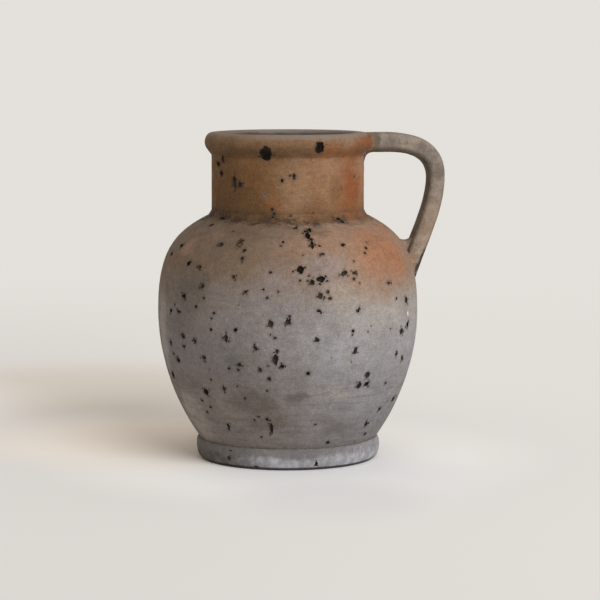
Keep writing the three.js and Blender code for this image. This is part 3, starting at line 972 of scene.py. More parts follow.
FIRE_MARKS_AND_PAINTED_REFLECTION = [
    Mark(-63, 191, 15, 11, ROSE_CLAY, 0.6),
    Mark(-54, 148, 30, 20, SMOKE, 0.45, 0.4),
    Mark(-34, 160, 26, 20, DUSKY_ASH, 0.4),
    Mark(-58, 128, 28, 18, SMOKE, 0.45),
    # Painted reflection: a pale strip down the belly's left edge, as light from the left would leave
    Mark(-80, 116, 17, 56, PALE_ASH, 0.6),
    # Painted reflection low on the belly's left edge
    Mark(-68, 42, 30, 34, WARM_PAINTED_REFLECTION, 0.65),
    Mark(-30, 102, 22, 14, SMOKE, 0.35),
    Mark(-8, 118, 30, 20, LILAC_ASH, 0.35),
    Mark(-12, 156, 40, 40, GREY_LILAC, 0.35),
    Mark(10, 124, 44, 26, BLUE_ASH, 0.3),
    Mark(-24, 63, 30, 15, BELLY_SMOKE, 0.75, 0.4),
    Mark(-2, 68, 16, 10, LOW_SMOKE, 0.6),
    Mark(-20, 47, 30, 12, LOWEST_SMOKE, 0.6, 0.4),
    Mark(16, 68, 18, 13, PALE_ASH, 0.4),
    Mark(22, 36, 24, 10, WORN_GREY, 0.5),
    Mark(0, 86, 20, 14, DARK_GREY, 0.4),
    Mark(12, 128, 12, 14, DARK_GREY, 0.25),
    Mark(16, 154, 30, 14, PALE_ASH, 0.25),
    Mark(40, 134, 34, 18, PALE_ASH, 0.3),
    Mark(-30, 206, 24, 12, UMBER, 0.25),
    Mark(2, 198, 22, 12, ROSE_CLAY, 0.35),
    Mark(46, 190, 46, 34, TERRACOTTA, 0.75, 0.3),
    Mark(57, 184, 24, 22, BRIGHT_TERRACOTTA, 0.45),
    Mark(44, 160, 40, 16, ROSE_CLAY, 0.3),
    Mark(11, 177, 32, 26, LILAC_ASH, 0.4),
    Mark(14, 198, 30, 14, ROSE_CLAY, 0.25),
    Mark(68, 207, 20, 10, TERRACOTTA, 0.45),
    Mark(-2, 240, 22, 44, SAND, 0.4),
    Mark(47, 242, 26, 34, ORANGE_RUST, 0.8, 0.2),
    Mark(30, 243, 9, 20, UMBER, 0.4),
    Mark(-46, 232, 36, 18, UMBER, 0.25),
    Mark(-16, 234, 14, 12, BURNT_ORANGE, 0.3),
    Mark(-32, 256, 18, 26, BROWN_OCHRE, 0.45),
    Mark(43, 262, 13, 24, RUST, 0.5),
    Mark(36, 277, 36, 8, BURNT_ORANGE, 0.7, 0.4),
    Mark(57, 276, 20, 7, UMBER, 0.5),
    Mark(62, 281, 34, 12, DULL_RUST, 0.8, 0.4),
    Mark(150, 150, 90, 60, SMOKE, 0.5),
    Mark(200, 182, 70, 36, TERRACOTTA, 0.5),
    Mark(-130, 90, 70, 50, LILAC_ASH, 0.4),
    Mark(130, 235, 40, 30, UMBER, 0.5),
    Mark(-140, 240, 50, 30, BURNT_ORANGE, 0.45),
]

# Small torn stains that lie just where they are given, and one painted highlight on the belly
STAINS = [
    Mark(-80, 219, 20, 6, BURNT_BROWN, 0.95, 0.4),
    Mark(-46, 216, 16, 5, BURNT_BROWN, 0.9),
    Mark(-30, 214, 10, 4, BURNT_BROWN, 0.8),
    Mark(-60, 219, 14, 5, BURNT_BROWN, 0.8),
    Mark(-8, 216, 20, 5, BURNT_BROWN, 0.85),
    Mark(10, 214.5, 14, 4, BURNT_BROWN, 0.75),
    Mark(31, 216, 13, 8, BURNT_BROWN, 0.8),
    Mark(84, 217, 16, 5, BURNT_BROWN, 0.85),
    Mark(-24, 238, 6, 5, DARK_GREY, 0.5),
]
# Painted highlight: a small near-white spot on the lit side of the belly
PAINTED_HIGHLIGHT = Mark(58, 133, 1.6, 3.6, PAINTED_HIGHLIGHT_WHITE, 0.9, 0.5)

# Slow noise that moves a place about: how many waves to a metre, how far in millimetres, seed
Drift = namedtuple("Drift", "scale distance seed")


def drifted(bench, place, drift):
    """The place moved about by slow noise, which gives what is laid by it a natural edge."""
    cloud = bench.noise(place, Noise(drift.scale, drift.seed, 3), out="Color")
    move = bench.vector_maths("SUBTRACT", cloud, (0.5, 0.5, 0.5))
    return bench.vector_maths("ADD", place, bench.scaled(move, drift.distance * MM))


def by_height(bench, height, stops):
    shades = [(level / JAR_HEIGHT, srgb(*colour)) for level, colour in stops]
    return bench.ramp(bench.maths("DIVIDE", height, JAR_HEIGHT * MM), shades)


def lay_mark(bench, under, place, mark, torn=0.0):
    radius = radius_at(WALL_OUTLINE, mark.height)
    turn = math.radians(mark.turn)
    centre = Vector((radius * math.sin(turn), -radius * math.cos(turn), mark.height)) * MM
    reach = (1 / (mark.across * MM), 1 / (mark.across * MM), 1 / (mark.tall * MM))
    from_centre = bench.vector_maths("SUBTRACT", place, tuple(centre))
    away = bench.length(bench.vector_maths("MULTIPLY", from_centre, reach))
    share = bench.spread(bench.plus(away, torn), mark.core, 1.0, mark.strength, 0.0)
    return bench.blend(share, under, mark.colour)


# A layer of colour: how strong it is, between which heights and distances across the jar it
# comes in, in millimetres, and the noises that break it up
Layer = namedtuple("Layer", "colour strength heights across noises", defaults=(1.0, (), (), ()))


def layered(bench, colour, place, loose, layers):
    """Lays layers by where the loose place is, broken up by noise at the place itself."""
    across, _, height = bench.parts(loose)
    for layer in layers:
        shares = [bench.fade(height, *limits) for limits in layer.heights]
        shares += [bench.fade(across, *limits) for limits in layer.across]
        shares += [bench.clouds(place, noise) for noise in layer.noises]
        colour = bench.blend(bench.times(layer.strength, *shares), colour, layer.colour)
    return colour


# Clouds in the clay: how many to a metre, how strong, how steep at their edges, seed
CLOUDS = [
    (24, 0.5, 1, 1),
    (85, 0.3, 1, 2),
    (46, 0.07, 7, 3),
    (150, 0.08, 6, 7),
    (260, 0.5, 1, 4),
    (900, 1.15, 1, 5),
]
STREAKS = Noise(50, 8, 4, 0.6, level=7)
STREAK_AMOUNT = 0.3
WARMTH = Noise(60, 6, 3)
COOLER = (0.98, 1.0, 1.02, 1)
WARMER = (1.02, 1.0, 0.97, 1)


def mottled(bench, place, colour, depth):
    """Clouds, patches and level streaks, light and dark and a little warmer and cooler as well."""
    tone = 1.0
    for scale, amount, steep, seed in CLOUDS:
        half = 0.5 / steep
        noise = Noise(scale, seed, 4, 0.6, edges=(0.5 - half, 0.5 + half, -0.5, 0.5))
        tone = bench.times_plus(bench.clouds(place, noise), amount * depth, tone)
    streak = bench.minus(bench.noise(place, STREAKS), 0.5)
    tone = bench.times_plus(streak, STREAK_AMOUNT * depth, tone)
    shade = bench.scaled(colour, tone)
    tint = bench.blend(bench.clouds(place, WARMTH), COOLER, WARMER)
    return bench.blend(1.0, shade, tint, "MULTIPLY")


def toned(bench, place, colour, noise, amount):
    """The colour, lighter and darker with the noise."""
    away = bench.minus(bench.noise(place, noise), 0.5)
    return bench.scaled(colour, bench.times_plus(away, amount, 1.0))


# Specks: how far apart their cells are, how wide the widest are, how many cells have one, seed
Specks = namedtuple("Specks", "spacing size share seed")
SPECK_CORE = 0.4


def specks(bench, place, kind):
    """One in the middle of specks scattered over the surface, nought between them."""
    values = {"Vector": place, "W": kind.seed, "Scale": 1 / (kind.spacing * MM)}
    cells = bench.add("ShaderNodeTexVoronoi", values, None, voronoi_dimensions="4D").outputs
    luck = bench.add("ShaderNodeSeparateColor", {0: cells["Color"]}, out=None).outputs
    kept = bench.maths("LESS_THAN", luck[0], kind.share)
    reach = bench.times(luck[1], kind.size / kind.spacing)
    inside = bench.spread(cells["Distance"], reach, bench.times(reach, SPECK_CORE))
    return bench.times(kept, inside)


# The clay that all pieces share. The marks drift less near the neck's seam, so that the change
# of clay stays on it. Reliefs are millimetres
BROAD_DRIFT = Drift(18, 24, 11)
CLOSE_DRIFT = Drift(70, 15, 12)
STAIN_DRIFT = Drift(120, 6, 13)
SEAM_HOLD = (2, 22, 0.1, 1.0)
TEARS = Noise(240, 14, 4, 0.7)
TEAR_SPAN = 4.0
TEAR_START = -1.75
FACING_INSIDE = (0.1, -0.3)
INNER_CLOUDS = Noise(55, 15, 3, edges=(0.35, 0.65))
SHARED_DEPTH = 0.85
DARK_SPECKS = Specks(4.6, 1.7, 0.2, 1)
DARK_SPECK_STRENGTH = 0.6
PALE_SPECKS = Specks(5.5, 1.3, 0.08, 2)
PALE_SPECK_STRENGTH = 0.35
SINGE_PATCHES = Noise(420, 24, edges=(0.3, 0.7, 0.2, 1.0))
GRAIN = Noise(900, 21, 3, 0.65)
GRAIN_RELIEF = 0.45
LUMPS = Noise(150, 22)
LUMP_RELIEF = 0.8
RINGS = Noise(22, 23, level=14)
RING_RELIEF = 0.3
SPECK_RELIEF = -0.3


def fired_colour(bench, place):
    """Both sides of the fire with its marks and stains, and painted shade, reflection and highlight.
    """
    from_seam = bench.minus(bench.parts(place)[2], NECK_SEAT_HEIGHT * MM)
    held = bench.fade(bench.maths("ABSOLUTE", from_seam), *SEAM_HOLD)
    loose = drifted(bench, drifted(bench, place, BROAD_DRIFT), CLOSE_DRIFT)
    drift = bench.vector_maths("SUBTRACT", loose, place)
    loose = bench.vector_maths("ADD", place, bench.scaled(drift, held))
    across, _, height = bench.parts(loose)
    smoked = by_height(bench, height, SMOKED_SIDE_WITH_PAINTED_SHADE)
    clean = by_height(bench, height, CLEAN_SIDE_WITH_PAINTED_SHADE)
    colour = bench.blend(bench.fade(across, *SIDES), smoked, clean)
    for mark in FIRE_MARKS_AND_PAINTED_REFLECTION:
        colour = lay_mark(bench, colour, loose, mark)
    near = drifted(bench, place, STAIN_DRIFT)
    torn = bench.times_plus(bench.noise(place, TEARS), TEAR_SPAN, TEAR_START)
    for mark in STAINS:
        colour = lay_mark(bench, colour, near, mark, torn)
    # the painted highlight
    return lay_mark(bench, colour, near, PAINTED_HIGHLIGHT)


def clay_relief(bench, place, dark):
    """The height of the grain, lumps and throwing rings, with the dark specks sunk."""
    relief = bench.times(bench.noise(place, GRAIN), GRAIN_RELIEF * MM)
    relief = bench.times_plus(bench.noise(place, LUMPS), LUMP_RELIEF * MM, relief)
    relief = bench.times_plus(bench.noise(place, RINGS), RING_RELIEF * MM, relief)
    return bench.times_plus(dark, SPECK_RELIEF * MM, relief)


def fired_clay_group():
    """The fire's colours, with some painted light and shade, and the grain that all pieces of the jar
    share, by the place on it.
    """
    tree = bpy.data.node_groups.new("fired_clay", "ShaderNodeTree")
    for label, kind in (("Color", "Color"), ("Relief", "Float"), ("Inside", "Float")):
        tree.interface.new_socket(label, in_out="OUTPUT", socket_type="NodeSocket" + kind)
    bench = Bench(tree)
    place = bench.add("ShaderNodeTexCoord", out="Object")
    normal = bench.add("ShaderNodeNewGeometry", out="Normal")
    facing = bench.vector_maths("DOT_PRODUCT", normal, level_way(bench, place), out="Value")
    inside = bench.spread(facing, *FACING_INSIDE)
    inner = bench.blend(bench.clouds(place, INNER_CLOUDS), *INNER_CLAY)
    colour = bench.blend(inside, fired_colour(bench, place), inner)
    colour = mottled(bench, place, colour, SHARED_DEPTH)
    dark = specks(bench, place, DARK_SPECKS)
    pale = specks(bench, place, PALE_SPECKS)
    colour = bench.blend(bench.times(dark, DARK_SPECK_STRENGTH), colour, SOOT)
    colour = bench.blend(bench.times(pale, PALE_SPECK_STRENGTH), colour, PALE_ASH)
    singe = bench.times(bench.measured("singe"), bench.clouds(place, SINGE_PATCHES))
    colour = bench.blend(singe, colour, SOOT)
    outputs = {0: colour, 1: clay_relief(bench, place, dark), 2: inside}
    bench.add("NodeGroupOutput", outputs, out=None)
    return tree


def new_material(name):
    material = bpy.data.materials.new(name)
    material.use_nodes = True
    material.node_tree.nodes.clear()
    return material, Bench(material.node_tree)


def close_material(bench, colour, roughness, specular, bump):
    values = {
        "Base Color": colour,
        "Roughness": roughness,
        "Specular IOR Level": specular,
        "Normal": bump,
    }
    shader = bench.add("ShaderNodeBsdfPrincipled", values)
    bench.add("ShaderNodeOutputMaterial", {0: shader}, out=None)


CLAY_ROUGHNESS = Noise(120, 31, edges=(0.3, 0.7, 0.78, 0.96))
CLAY_SPECULAR = 0.3


def clay_material(name, finish):
    """Clay in the kiln's colours. The finish adds what only this piece shows."""
    material, bench = new_material(name)
    clay = bench.add("ShaderNodeGroup", out=None, node_tree=FIRED_CLAY).outputs
    place = bench.add("ShaderNodeTexCoord", out="Object")
    colour = finish(bench, place, clay)
    roughness = bench.clouds(place, CLAY_ROUGHNESS)
    values = {"Strength": 1.0, "Distance": 1.0, "Height": clay["Relief"]}
    bump = bench.add("ShaderNodeBump", values)
    close_material(bench, colour, roughness, CLAY_SPECULAR, bump)
    return material


# Belly
WIPES = Noise(75, 41, 3, level=0.1)
WIPE_HEIGHTS = (118, 70)
WIPE_STRENGTH = 0.35
BELLY_SMEARS = Noise(32, 44, 4, 0.6, level=8, edges=(0.48, 0.62, 0.0, 0.3))
BELLY_LAYERS = [
    Layer(GREY_SMEAR, heights=[(92, 66)], noises=[BELLY_SMEARS]),
    Layer(UMBER, 0.2, heights=[(27, 19)]),
]


def belly_finish(bench, place, clay):
    """Upright streaks where wet hands wiped the belly, smears lower down, damp at the foot."""
    wiped = bench.times(bench.fade(bench.parts(place)[2], *WIPE_HEIGHTS), WIPE_STRENGTH)
    colour = toned(bench, place, clay["Color"], WIPES, wiped)
    return layered(bench, colour, place, place, BELLY_LAYERS)


# Foot
FOOT_DRIFT = Drift(40, 14, 42)
FOOT_SPOTS = Noise(150, 43, 3, edges=(0.4, 0.64))
FOOT_DULL_SIDE = (-22, -56)
FOOT_LAYERS = [
    Layer(SOOT, 0.5, across=[(-46, -75)]),
    Layer(FOOT_TOP_ASH, 0.85, heights=[(8, 14)], across=[(66, 24, 0.4, 1.0)]),
]
# Painted contact shadow: a dark line low on the foot where it stands on the floor
PAINTED_CONTACT_SHADOW = Layer(SOOT, 0.9, heights=[(3.4, 2)])
FOOT_DEPTH = 0.7


def foot_finish(bench, place, clay):
    """Pale ash low on the front of the foot, soot to its left, and a painted contact shadow where it
    stands.
    """
    loose = drifted(bench, place, FOOT_DRIFT)
    spots = bench.clouds(place, FOOT_SPOTS)
    ash = bench.blend(spots, *FOOT_ASH)
    dull = bench.blend(spots, *FOOT_DULL_ASH)
    colour = bench.blend(bench.fade(bench.parts(loose)[0], *FOOT_DULL_SIDE), ash, dull)
    colour = layered(bench, colour, place, loose, FOOT_LAYERS)
    colour = layered(bench, colour, place, place, [PAINTED_CONTACT_SHADOW])
    return mottled(bench, place, colour, FOOT_DEPTH)


# Shoulder
SHOULDER_DRIFT = Drift(120, 7, 51)
CRUMBS = Noise(90, 52, 4, 0.65, edges=(0.48, 0.6))
CRUMB_PATCHES = Noise(21, 53, 1, edges=(0.4, 0.56, 0.2, 0.95))
SHOULDER_SMEARS = Noise(38, 54, 4, 0.6, level=6, edges=(0.5, 0.62, 0.0, 0.4))
SHOULDER_LAYERS = [
    Layer(BROWN_SMEAR, heights=[(192, 208)], noises=[SHOULDER_SMEARS]),
    Layer(SOOT, heights=[(210, 215)], noises=[CRUMBS, CRUMB_PATCHES]),
]


def shoulder_finish(bench, place, clay):
    """Smears high on the shoulder, and dark crumbs in patches at the neck's foot."""
    loose = drifted(bench, place, SHOULDER_DRIFT)
    return layered(bench, clay["Color"], place, loose, SHOULDER_LAYERS)


# Neck and rim
NECK_DRIFT = Drift(60, 6, 61)
THROWING_LINES = Noise(45, 62, 3, level=9)
THROWING_STRENGTH = 0.3
NECK_LAYERS = [
    # Painted shade under the rim's roll
    Layer(OLIVE, 0.15, heights=[(271, 273.5), (279, 276)]),
    Layer(NECK_FOOT_BROWN, 0.5, heights=[(227, 218)]),
    Layer(LIP_ASH, heights=[(285, 289.5)], across=[(-50, -5, 0.3, 0.85)]),
]
THROAT_CLOUDS = Noise(30, 63, 3, edges=(0.35, 0.65))
BELOW_LIP = (288.5, 286)


def neck_finish(bench, place, clay):
    """Throwing lines, painted shade under the rim's roll where rim and neck meet, ash on the lip, a
    sooty throat.
    """
    loose = drifted(bench, place, NECK_DRIFT)
    colour = toned(bench, place, clay["Color"], THROWING_LINES, THROWING_STRENGTH)
    colour = layered(bench, colour, place, loose, NECK_LAYERS)
    throat = bench.blend(bench.clouds(place, THROAT_CLOUDS), *THROAT_CLAY)
    below_lip = bench.fade(bench.parts(loose)[2], *BELOW_LIP)
    return bench.blend(bench.times(clay["Inside"], below_lip), colour, throat)


# Handle: painted shade by which way the clay faces, ash and stains by height and distance from the
# axis
STRAP_DRIFT = Drift(90, 9, 71)
STRAP_CLOUDS = Noise(80, 72, 4, edges=(0.35, 0.65))
STRAP_TAN_HEIGHTS = (262, 205)
SMUDGES = Noise(85, 73, 3, edges=(0.57, 0.68, 0.0, 0.5))
INWARD_ABOVE = (0.72, 0.96)
INWARD_BELOW = (0.45, 0.85)
INWARD_HEIGHTS = (232, 205)
UNDER_STRAP = (0.1, -0.5, 0.0, 1.5)
STRAP_PAINTED_SHADE_STRENGTH = 0.5
OLIVE_BAND = ((71, 76), (82, 78))
OLIVE_BAND_STRENGTH = (0.25, 0.85)
ROOT_BAND_OUTER = (2, 5)
ROOT_BAND_NEAR_SIDE = (0.0, -0.35, 0.3, 1.0)
ROOT_BAND_EDGE_ON = (0.25, 0.5)
ROOT_BAND_HEIGHTS = (190, 184, 0.0, 0.95)
ROOT_BAND_TEARS = Noise(150, 74, 3, edges=(0.36, 0.5, 0.35, 1.0))
STRAP_DEPTH = 0.75


def painted_strap_shade(bench, normal, height):
    """Painted shade: how dark the strap is painted where it faces the jar, and where it faces down.
    """
    inward = bench.times(normal[0], -1)
    upper = bench.spread(inward, *INWARD_ABOVE)
    lower = bench.minus(bench.spread(inward, *INWARD_BELOW), upper)
    lower = bench.times(bench.fade(height, *INWARD_HEIGHTS), lower)
    under = bench.spread(normal[2], *UNDER_STRAP)
    hidden = bench.maths("MAXIMUM", bench.plus(upper, lower), under)
    return bench.times(hidden, STRAP_PAINTED_SHADE_STRENGTH)


def ragged_root_band(bench, place, normal, height):
    """A ragged dark band along the outer edge of the lower root, on the side that is seen."""
    lean = math.tan(math.radians(HANDLE_LEAN))
    root_line = radius_at(WALL_OUTLINE, HANDLE_ROOT_HEIGHT) - lean * HANDLE_ROOT_HEIGHT
    across, _, upward = bench.parts(place)
    from_line = bench.times_plus(upward, -lean, across)
    return bench.times(
        bench.fade(from_line, *(root_line + beyond for beyond in ROOT_BAND_OUTER)),
        bench.spread(normal[1], *ROOT_BAND_NEAR_SIDE),
        bench.fade(height, *ROOT_BAND_HEIGHTS),
        bench.clouds(place, ROOT_BAND_TEARS),
        bench.spread(normal[0], *ROOT_BAND_EDGE_ON),
    )


def handle_finish(bench, place, clay):
    """Grey ash over the strap, warmer low down, painted shade on its inner and under faces, and what
    lies over it by side and height.
    """
    across, _, height = bench.parts(drifted(bench, place, STRAP_DRIFT))
    clouds = bench.clouds(place, STRAP_CLOUDS)
    ash = bench.blend(clouds, *STRAP_ASH)
    tan = bench.blend(clouds, *STRAP_TAN)
    colour = bench.blend(bench.fade(height, *STRAP_TAN_HEIGHTS), ash, tan)
    colour = bench.blend(bench.clouds(place, SMUDGES), colour, OLIVE)
    normal = bench.parts(bench.add("ShaderNodeNewGeometry", out="Normal"))
    # painted shade where the strap faces the jar and faces down
    colour = bench.blend(painted_strap_shade(bench, normal, height), colour, STRAP_PAINTED_SHADE)
    colour = bench.blend(bench.measured("near_jar"), colour, clay["Color"])
    band = [bench.fade(across, *limits) for limits in OLIVE_BAND]
    olive = bench.times(bench.spread(clouds, 0.0, 1.0, *OLIVE_BAND_STRENGTH), *band)
    colour = bench.blend(olive, colour, OLIVE)
    colour = bench.blend(ragged_root_band(bench, place, normal, height), colour, SOOT)
    return mottled(bench, place, colour, STRAP_DEPTH)


# Lining of the pits
CHAR_KINDS = Noise(60, 81, 1, edges=(0.4, 0.62))
CHAR_GRAIN = Noise(800, 82)
CHAR_TONE = (1.2, 0.4)
CHAR_BUMP = 0.8
CHAR_BUMP_HEIGHT = 0.5
CHAR_ROUGHNESS = 0.95
CHAR_SPECULAR = 0.1


def scorched_material():
    """The burnt lining of the pits, black in some and brown in others."""
    material, bench = new_material("scorched_hollow")
    place = bench.add("ShaderNodeTexCoord", out="Object")
    colour = bench.blend(bench.clouds(place, CHAR_KINDS), *CHAR)
    fine = bench.noise(place, CHAR_GRAIN)
    colour = bench.scaled(colour, bench.times_plus(fine, *CHAR_TONE))
    values = {"Strength": CHAR_BUMP, "Distance": CHAR_BUMP_HEIGHT * MM, "Height": fine}
    bump = bench.add("ShaderNodeBump", values)
    close_material(bench, colour, CHAR_ROUGHNESS, CHAR_SPECULAR, bump)
    return material


FIRED_CLAY = fired_clay_group()
CLAYS = {
    "body_clay": clay_material("belly_clay", belly_finish),
    "foot_clay": clay_material("foot_clay", foot_finish),
    "shoulder_clay": clay_material("shoulder_clay", shoulder_finish),
    "neck_clay": clay_material("neck_clay", neck_finish),
    "handle_clay": clay_material("handle_clay", handle_finish),
}
SCORCH = scorched_material()
TURNING = turning_tree()
PITTING = pitting_tree()
SHARP_CORNER = math.radians(38)


# Profiles of the turned pieces, as closed rings of (radius, height)

def ring(start, *runs):
    """A closed profile that goes on from start by runs of (next point or whole line, step)."""
    lines = []
    for end, step in runs:
        line = np.array(end if np.ndim(end) == 2 else [start, end], float)
        lines.append(spaced(line, step))
        start = line[-1]
    points = np.vstack(lines)
    keep = np.r_[True, np.linalg.norm(np.diff(points, axis=0), axis=1) > SAME_POINT]
    return points[keep]


def slab_profile():
    edge = PAD_RADIUS - SLIP_GAP
    return ring(
        (0, 0),
        ((BASE_RADIUS, 0), SLAB_STEP),
        ((BASE_RADIUS, WALL_SEAT_HEIGHT), COARSE_STEP),
        ((edge, WALL_SEAT_HEIGHT), COARSE_STEP),
        ((edge, BASE_THICKNESS), COARSE_STEP),
        ((0, BASE_THICKNESS), COARSE_STEP),
    )


def foot_profile():
    inner = BASE_RADIUS + SLIP_GAP
    outer = foot_outline()
    return ring(
        (inner, 0),
        (outer[0], FINE_STEP),
        (outer, FOOT_STEP),
        ((WAIST_RADIUS + SLIP_GAP, WAIST_HEIGHT - SLIP_GAP), FINE_STEP),
        ((inner, WALL_SEAT_HEIGHT), FINE_STEP),
        ((inner, 0), COARSE_STEP),
    )


def lower_profile():
    """The wall up to the belly, and the tongue at its top."""
    tongue = TONGUE_RADIUS - SLIP_GAP / 2
    inner = stretch(INNER_OUTLINE, BASE_THICKNESS, TONGUE_TOP_HEIGHT)[::-1]
    seat = (PAD_RADIUS, WALL_SEAT_HEIGHT)
    return ring(
        seat,
        (LOWER[0], COARSE_STEP),
        (LOWER, FINE_STEP),
        ((tongue, BELLY_HEIGHT), COARSE_STEP),
        ((tongue, TONGUE_TOP_HEIGHT), COARSE_STEP),
        (inner[0], COARSE_STEP),
        (inner, COARSE_STEP),
        (seat, COARSE_STEP),
    )


def shoulder_profile():
    """The wall from the belly to the neck, with its groove below and the neck's seat on top."""
    groove = TONGUE_RADIUS + SLIP_GAP / 2
    inner = stretch(INNER_OUTLINE, TONGUE_TOP_HEIGHT, THROAT_HEIGHT)[::-1]
    centre = (MOUTH_RADIUS + THROAT_ROUND, THROAT_HEIGHT + THROAT_ROUND)
    throat = quarter_round(centre, THROAT_ROUND, 180, 270)
    return ring(
        (groove, BELLY_HEIGHT),
        (UPPER[0], COARSE_STEP),
        (UPPER, FINE_STEP),
        ((NECK_RADIUS + SLIP_GAP, NECK_SEAT_HEIGHT), COARSE_STEP),
        ((MOUTH_RADIUS, NECK_SEAT_HEIGHT), COARSE_STEP),
        (throat[0], COARSE_STEP),
        (throat, THROAT_STEP),
        (inner[0], COARSE_STEP),
        (inner, COARSE_STEP),
        ((groove, TONGUE_TOP_HEIGHT), COARSE_STEP),
        ((groove, BELLY_HEIGHT), COARSE_STEP),
    )


def neck_profile():
    return ring(
        (MOUTH_RADIUS, NECK_SEAT_HEIGHT),
        ((NECK_RADIUS, NECK_SEAT_HEIGHT), COARSE_STEP),
        ((NECK_RADIUS, NECK_TOP_HEIGHT), FINE_STEP),
        ((MOUTH_RADIUS, NECK_TOP_HEIGHT), COARSE_STEP),
        ((MOUTH_RADIUS, NECK_SEAT_HEIGHT), FINE_STEP),
    )


def seam_profile():
    """The coil in the corner at the neck's foot, with a hollow face."""
    inner = NECK_RADIUS + SLIP_GAP
    outer = inner + SEAM_COIL_SPREAD
    foot = np.array([outer, height_at(UPPER, outer)])
    corner = np.array([inner, NECK_FOOT_HEIGHT])
    top = np.array([inner, NECK_FOOT_HEIGHT + SEAM_COIL_RISE])
    hollow = (corner + foot) / 2
    face = bezier(foot, foot + (hollow - foot) * 2 / 3, top + (hollow - top) * 2 / 3, top)
    return ring(corner, (foot, SEAM_SIDE_STEP), (face, SEAM_STEP), (corner, SEAM_SIDE_STEP))


def rim_profile():
    low = (MOUTH_RADIUS, NECK_TOP_HEIGHT)
    outer = rim_outline()
    centre = (MOUTH_RADIUS + LIP_ROUND, JAR_HEIGHT - LIP_ROUND)
    inner = quarter_round(centre, LIP_ROUND, 90, 180)
    return ring(
        low,
        ((NECK_RADIUS + SLIP_GAP, NECK_TOP_HEIGHT), COARSE_STEP),
        (outer[0], FINE_STEP),
        (outer, RIM_STEP),
        (inner[0], RIM_STEP),
        (inner, RIM_STEP),
        (low, FINE_STEP),
    )


# A turned piece: its unevenness and grain in millimetres, its slot and the solid that it shows
Turned = namedtuple("Turned", "name profile facets unevenness grain slot node")
TURNED_PIECES = [
    Turned("base_slab", slab_profile, NECK_FACETS, 0.4, 0.2, "body_clay", "base_disc"),
    Turned("foot_coil", foot_profile, BODY_FACETS, 0.9, 0.4, "foot_clay", "foot_roll"),
    Turned("thrown_belly", lower_profile, BODY_FACETS, 0.45, 0.15, "body_clay", "lower_wall"),
    Turned(
        "thrown_shoulder", shoulder_profile, BODY_FACETS, 0.45, 0.15, "shoulder_clay", "shoulder_wall"
    ),
    Turned("neck_seam", seam_profile, NECK_FACETS, 1.2, 0.5, "shoulder_clay", "neck_seam_coil"),
    Turned("neck_wall", neck_profile, NECK_FACETS, 0.45, 0.15, "neck_clay", "neck_collar"),
    Turned("rolled_rim", rim_profile, NECK_FACETS, 0.45, 0.2, "neck_clay", "rim_roll"),
]


def turned_piece(turned, pits):
    profile = turned.profile()
    closed = np.vstack([profile, profile[:1]])
    carrier = carrier_of(turned.name, [(r * MM, 0, z * MM) for r, z in closed])
    dress(
        carrier,
        TURNING,
        facets=turned.facets,
        unevenness=turned.unevenness * MM,
        grain=turned.grain * MM,
        clay=CLAYS[turned.slot],
    )
    dress(carrier, PITTING, pits=pits, corner=SHARP_CORNER, scorch=SCORCH)
    return settle(carrier, turned.name)


# Handle. It swells fully above the flare's heights, and most where it faces sideways
ACROSS_STRAP = (0, 1, 0)
FLARE_HEIGHTS = (215, 250)
FACES_SIDEWAYS = (0.1, 1.0)
STRAP_UNEVENNESS = 0.4
STRAP_GRAIN_SHARE = 0.3
STRAP_BELOW_LIP = 0.1
NEAR_JAR = (7, 0.5)


def handle_line():
    """From inside the rim, over to the furthest reach and down into the shoulder."""
    start = (MOUTH_RADIUS + LIP_ROUND, HANDLE_TOP_HEIGHT)
    bend = (RIM_RADIUS + HANDLE_STRAIGHT, HANDLE_TOP_HEIGHT)
    outermost = (HANDLE_REACH, HANDLE_REACH_HEIGHT)
    root = np.array([radius_at(WALL_OUTLINE, HANDLE_ROOT_HEIGHT), HANDLE_ROOT_HEIGHT])
    lean = np.array([math.sin(math.radians(HANDLE_LEAN)), math.cos(math.radians(HANDLE_LEAN))])
    drop = HANDLE_TOP_HEIGHT - HANDLE_REACH_HEIGHT
    fall = HANDLE_REACH_HEIGHT - HANDLE_ROOT_HEIGHT
    over = bezier(
        bend,
        (bend[0] + (HANDLE_REACH - bend[0]) * 2 / 3, HANDLE_TOP_HEIGHT),
        (HANDLE_REACH, HANDLE_REACH_HEIGHT + drop * 2 / 3),
        outermost,
    )
    down = bezier(
        outermost, (HANDLE_REACH, HANDLE_REACH_HEIGHT - fall / 3), root + lean * fall / 3, root
    )
    return np.vstack([start, over, down[1:], root - lean * HANDLE_BURY])


def strap_fullness(line):
    return np.interp(distances(line), *zip(*STRAP_FULLNESS))


def strap_section(bench, given):
    """The strap's cross-section, an oblong with round corners."""
    values = {"Width": given["Width"], "Height": given["Thickness"]}
    section = bench.add("GeometryNodeCurvePrimitiveQuadrilateral", values)
    values = {"Curve": section, "Radius": given["Edge Round"], "Count": STRAP_CORNER_STEPS}
    section = bench.add("GeometryNodeFilletCurve", values, mode="POLY")
    values = {"Curve": section, "Count": STRAP_SECTION_POINTS}
    return bench.add("GeometryNodeResampleCurve", values)


def swollen_round(bench, place, normal, flare, near):
    """The place, turned round the jar's axis the further the nearer it is to the jar."""
    gap = bench.maths("MAXIMUM", bench.minus(flare, near), 0.0)
    inside = bench.minus(bench.times(flare, flare), bench.times(gap, gap))
    swell = bench.minus(flare, bench.maths("SQRT", inside))
    sideways = bench.parts(normal)[1]
    side = bench.spread(bench.maths("ABSOLUTE", sideways), *FACES_SIDEWAYS)
    side = bench.times(bench.maths("SIGN", sideways), side)
    from_axis = bench.length(bench.stretched(place, 0))
    turn = bench.maths("DIVIDE", bench.times(swell, side), from_axis)
    return bench.add(
        "ShaderNodeVectorRotate", {"Vector": place, "Angle": turn}, rotation_type="Z_AXIS"
    )


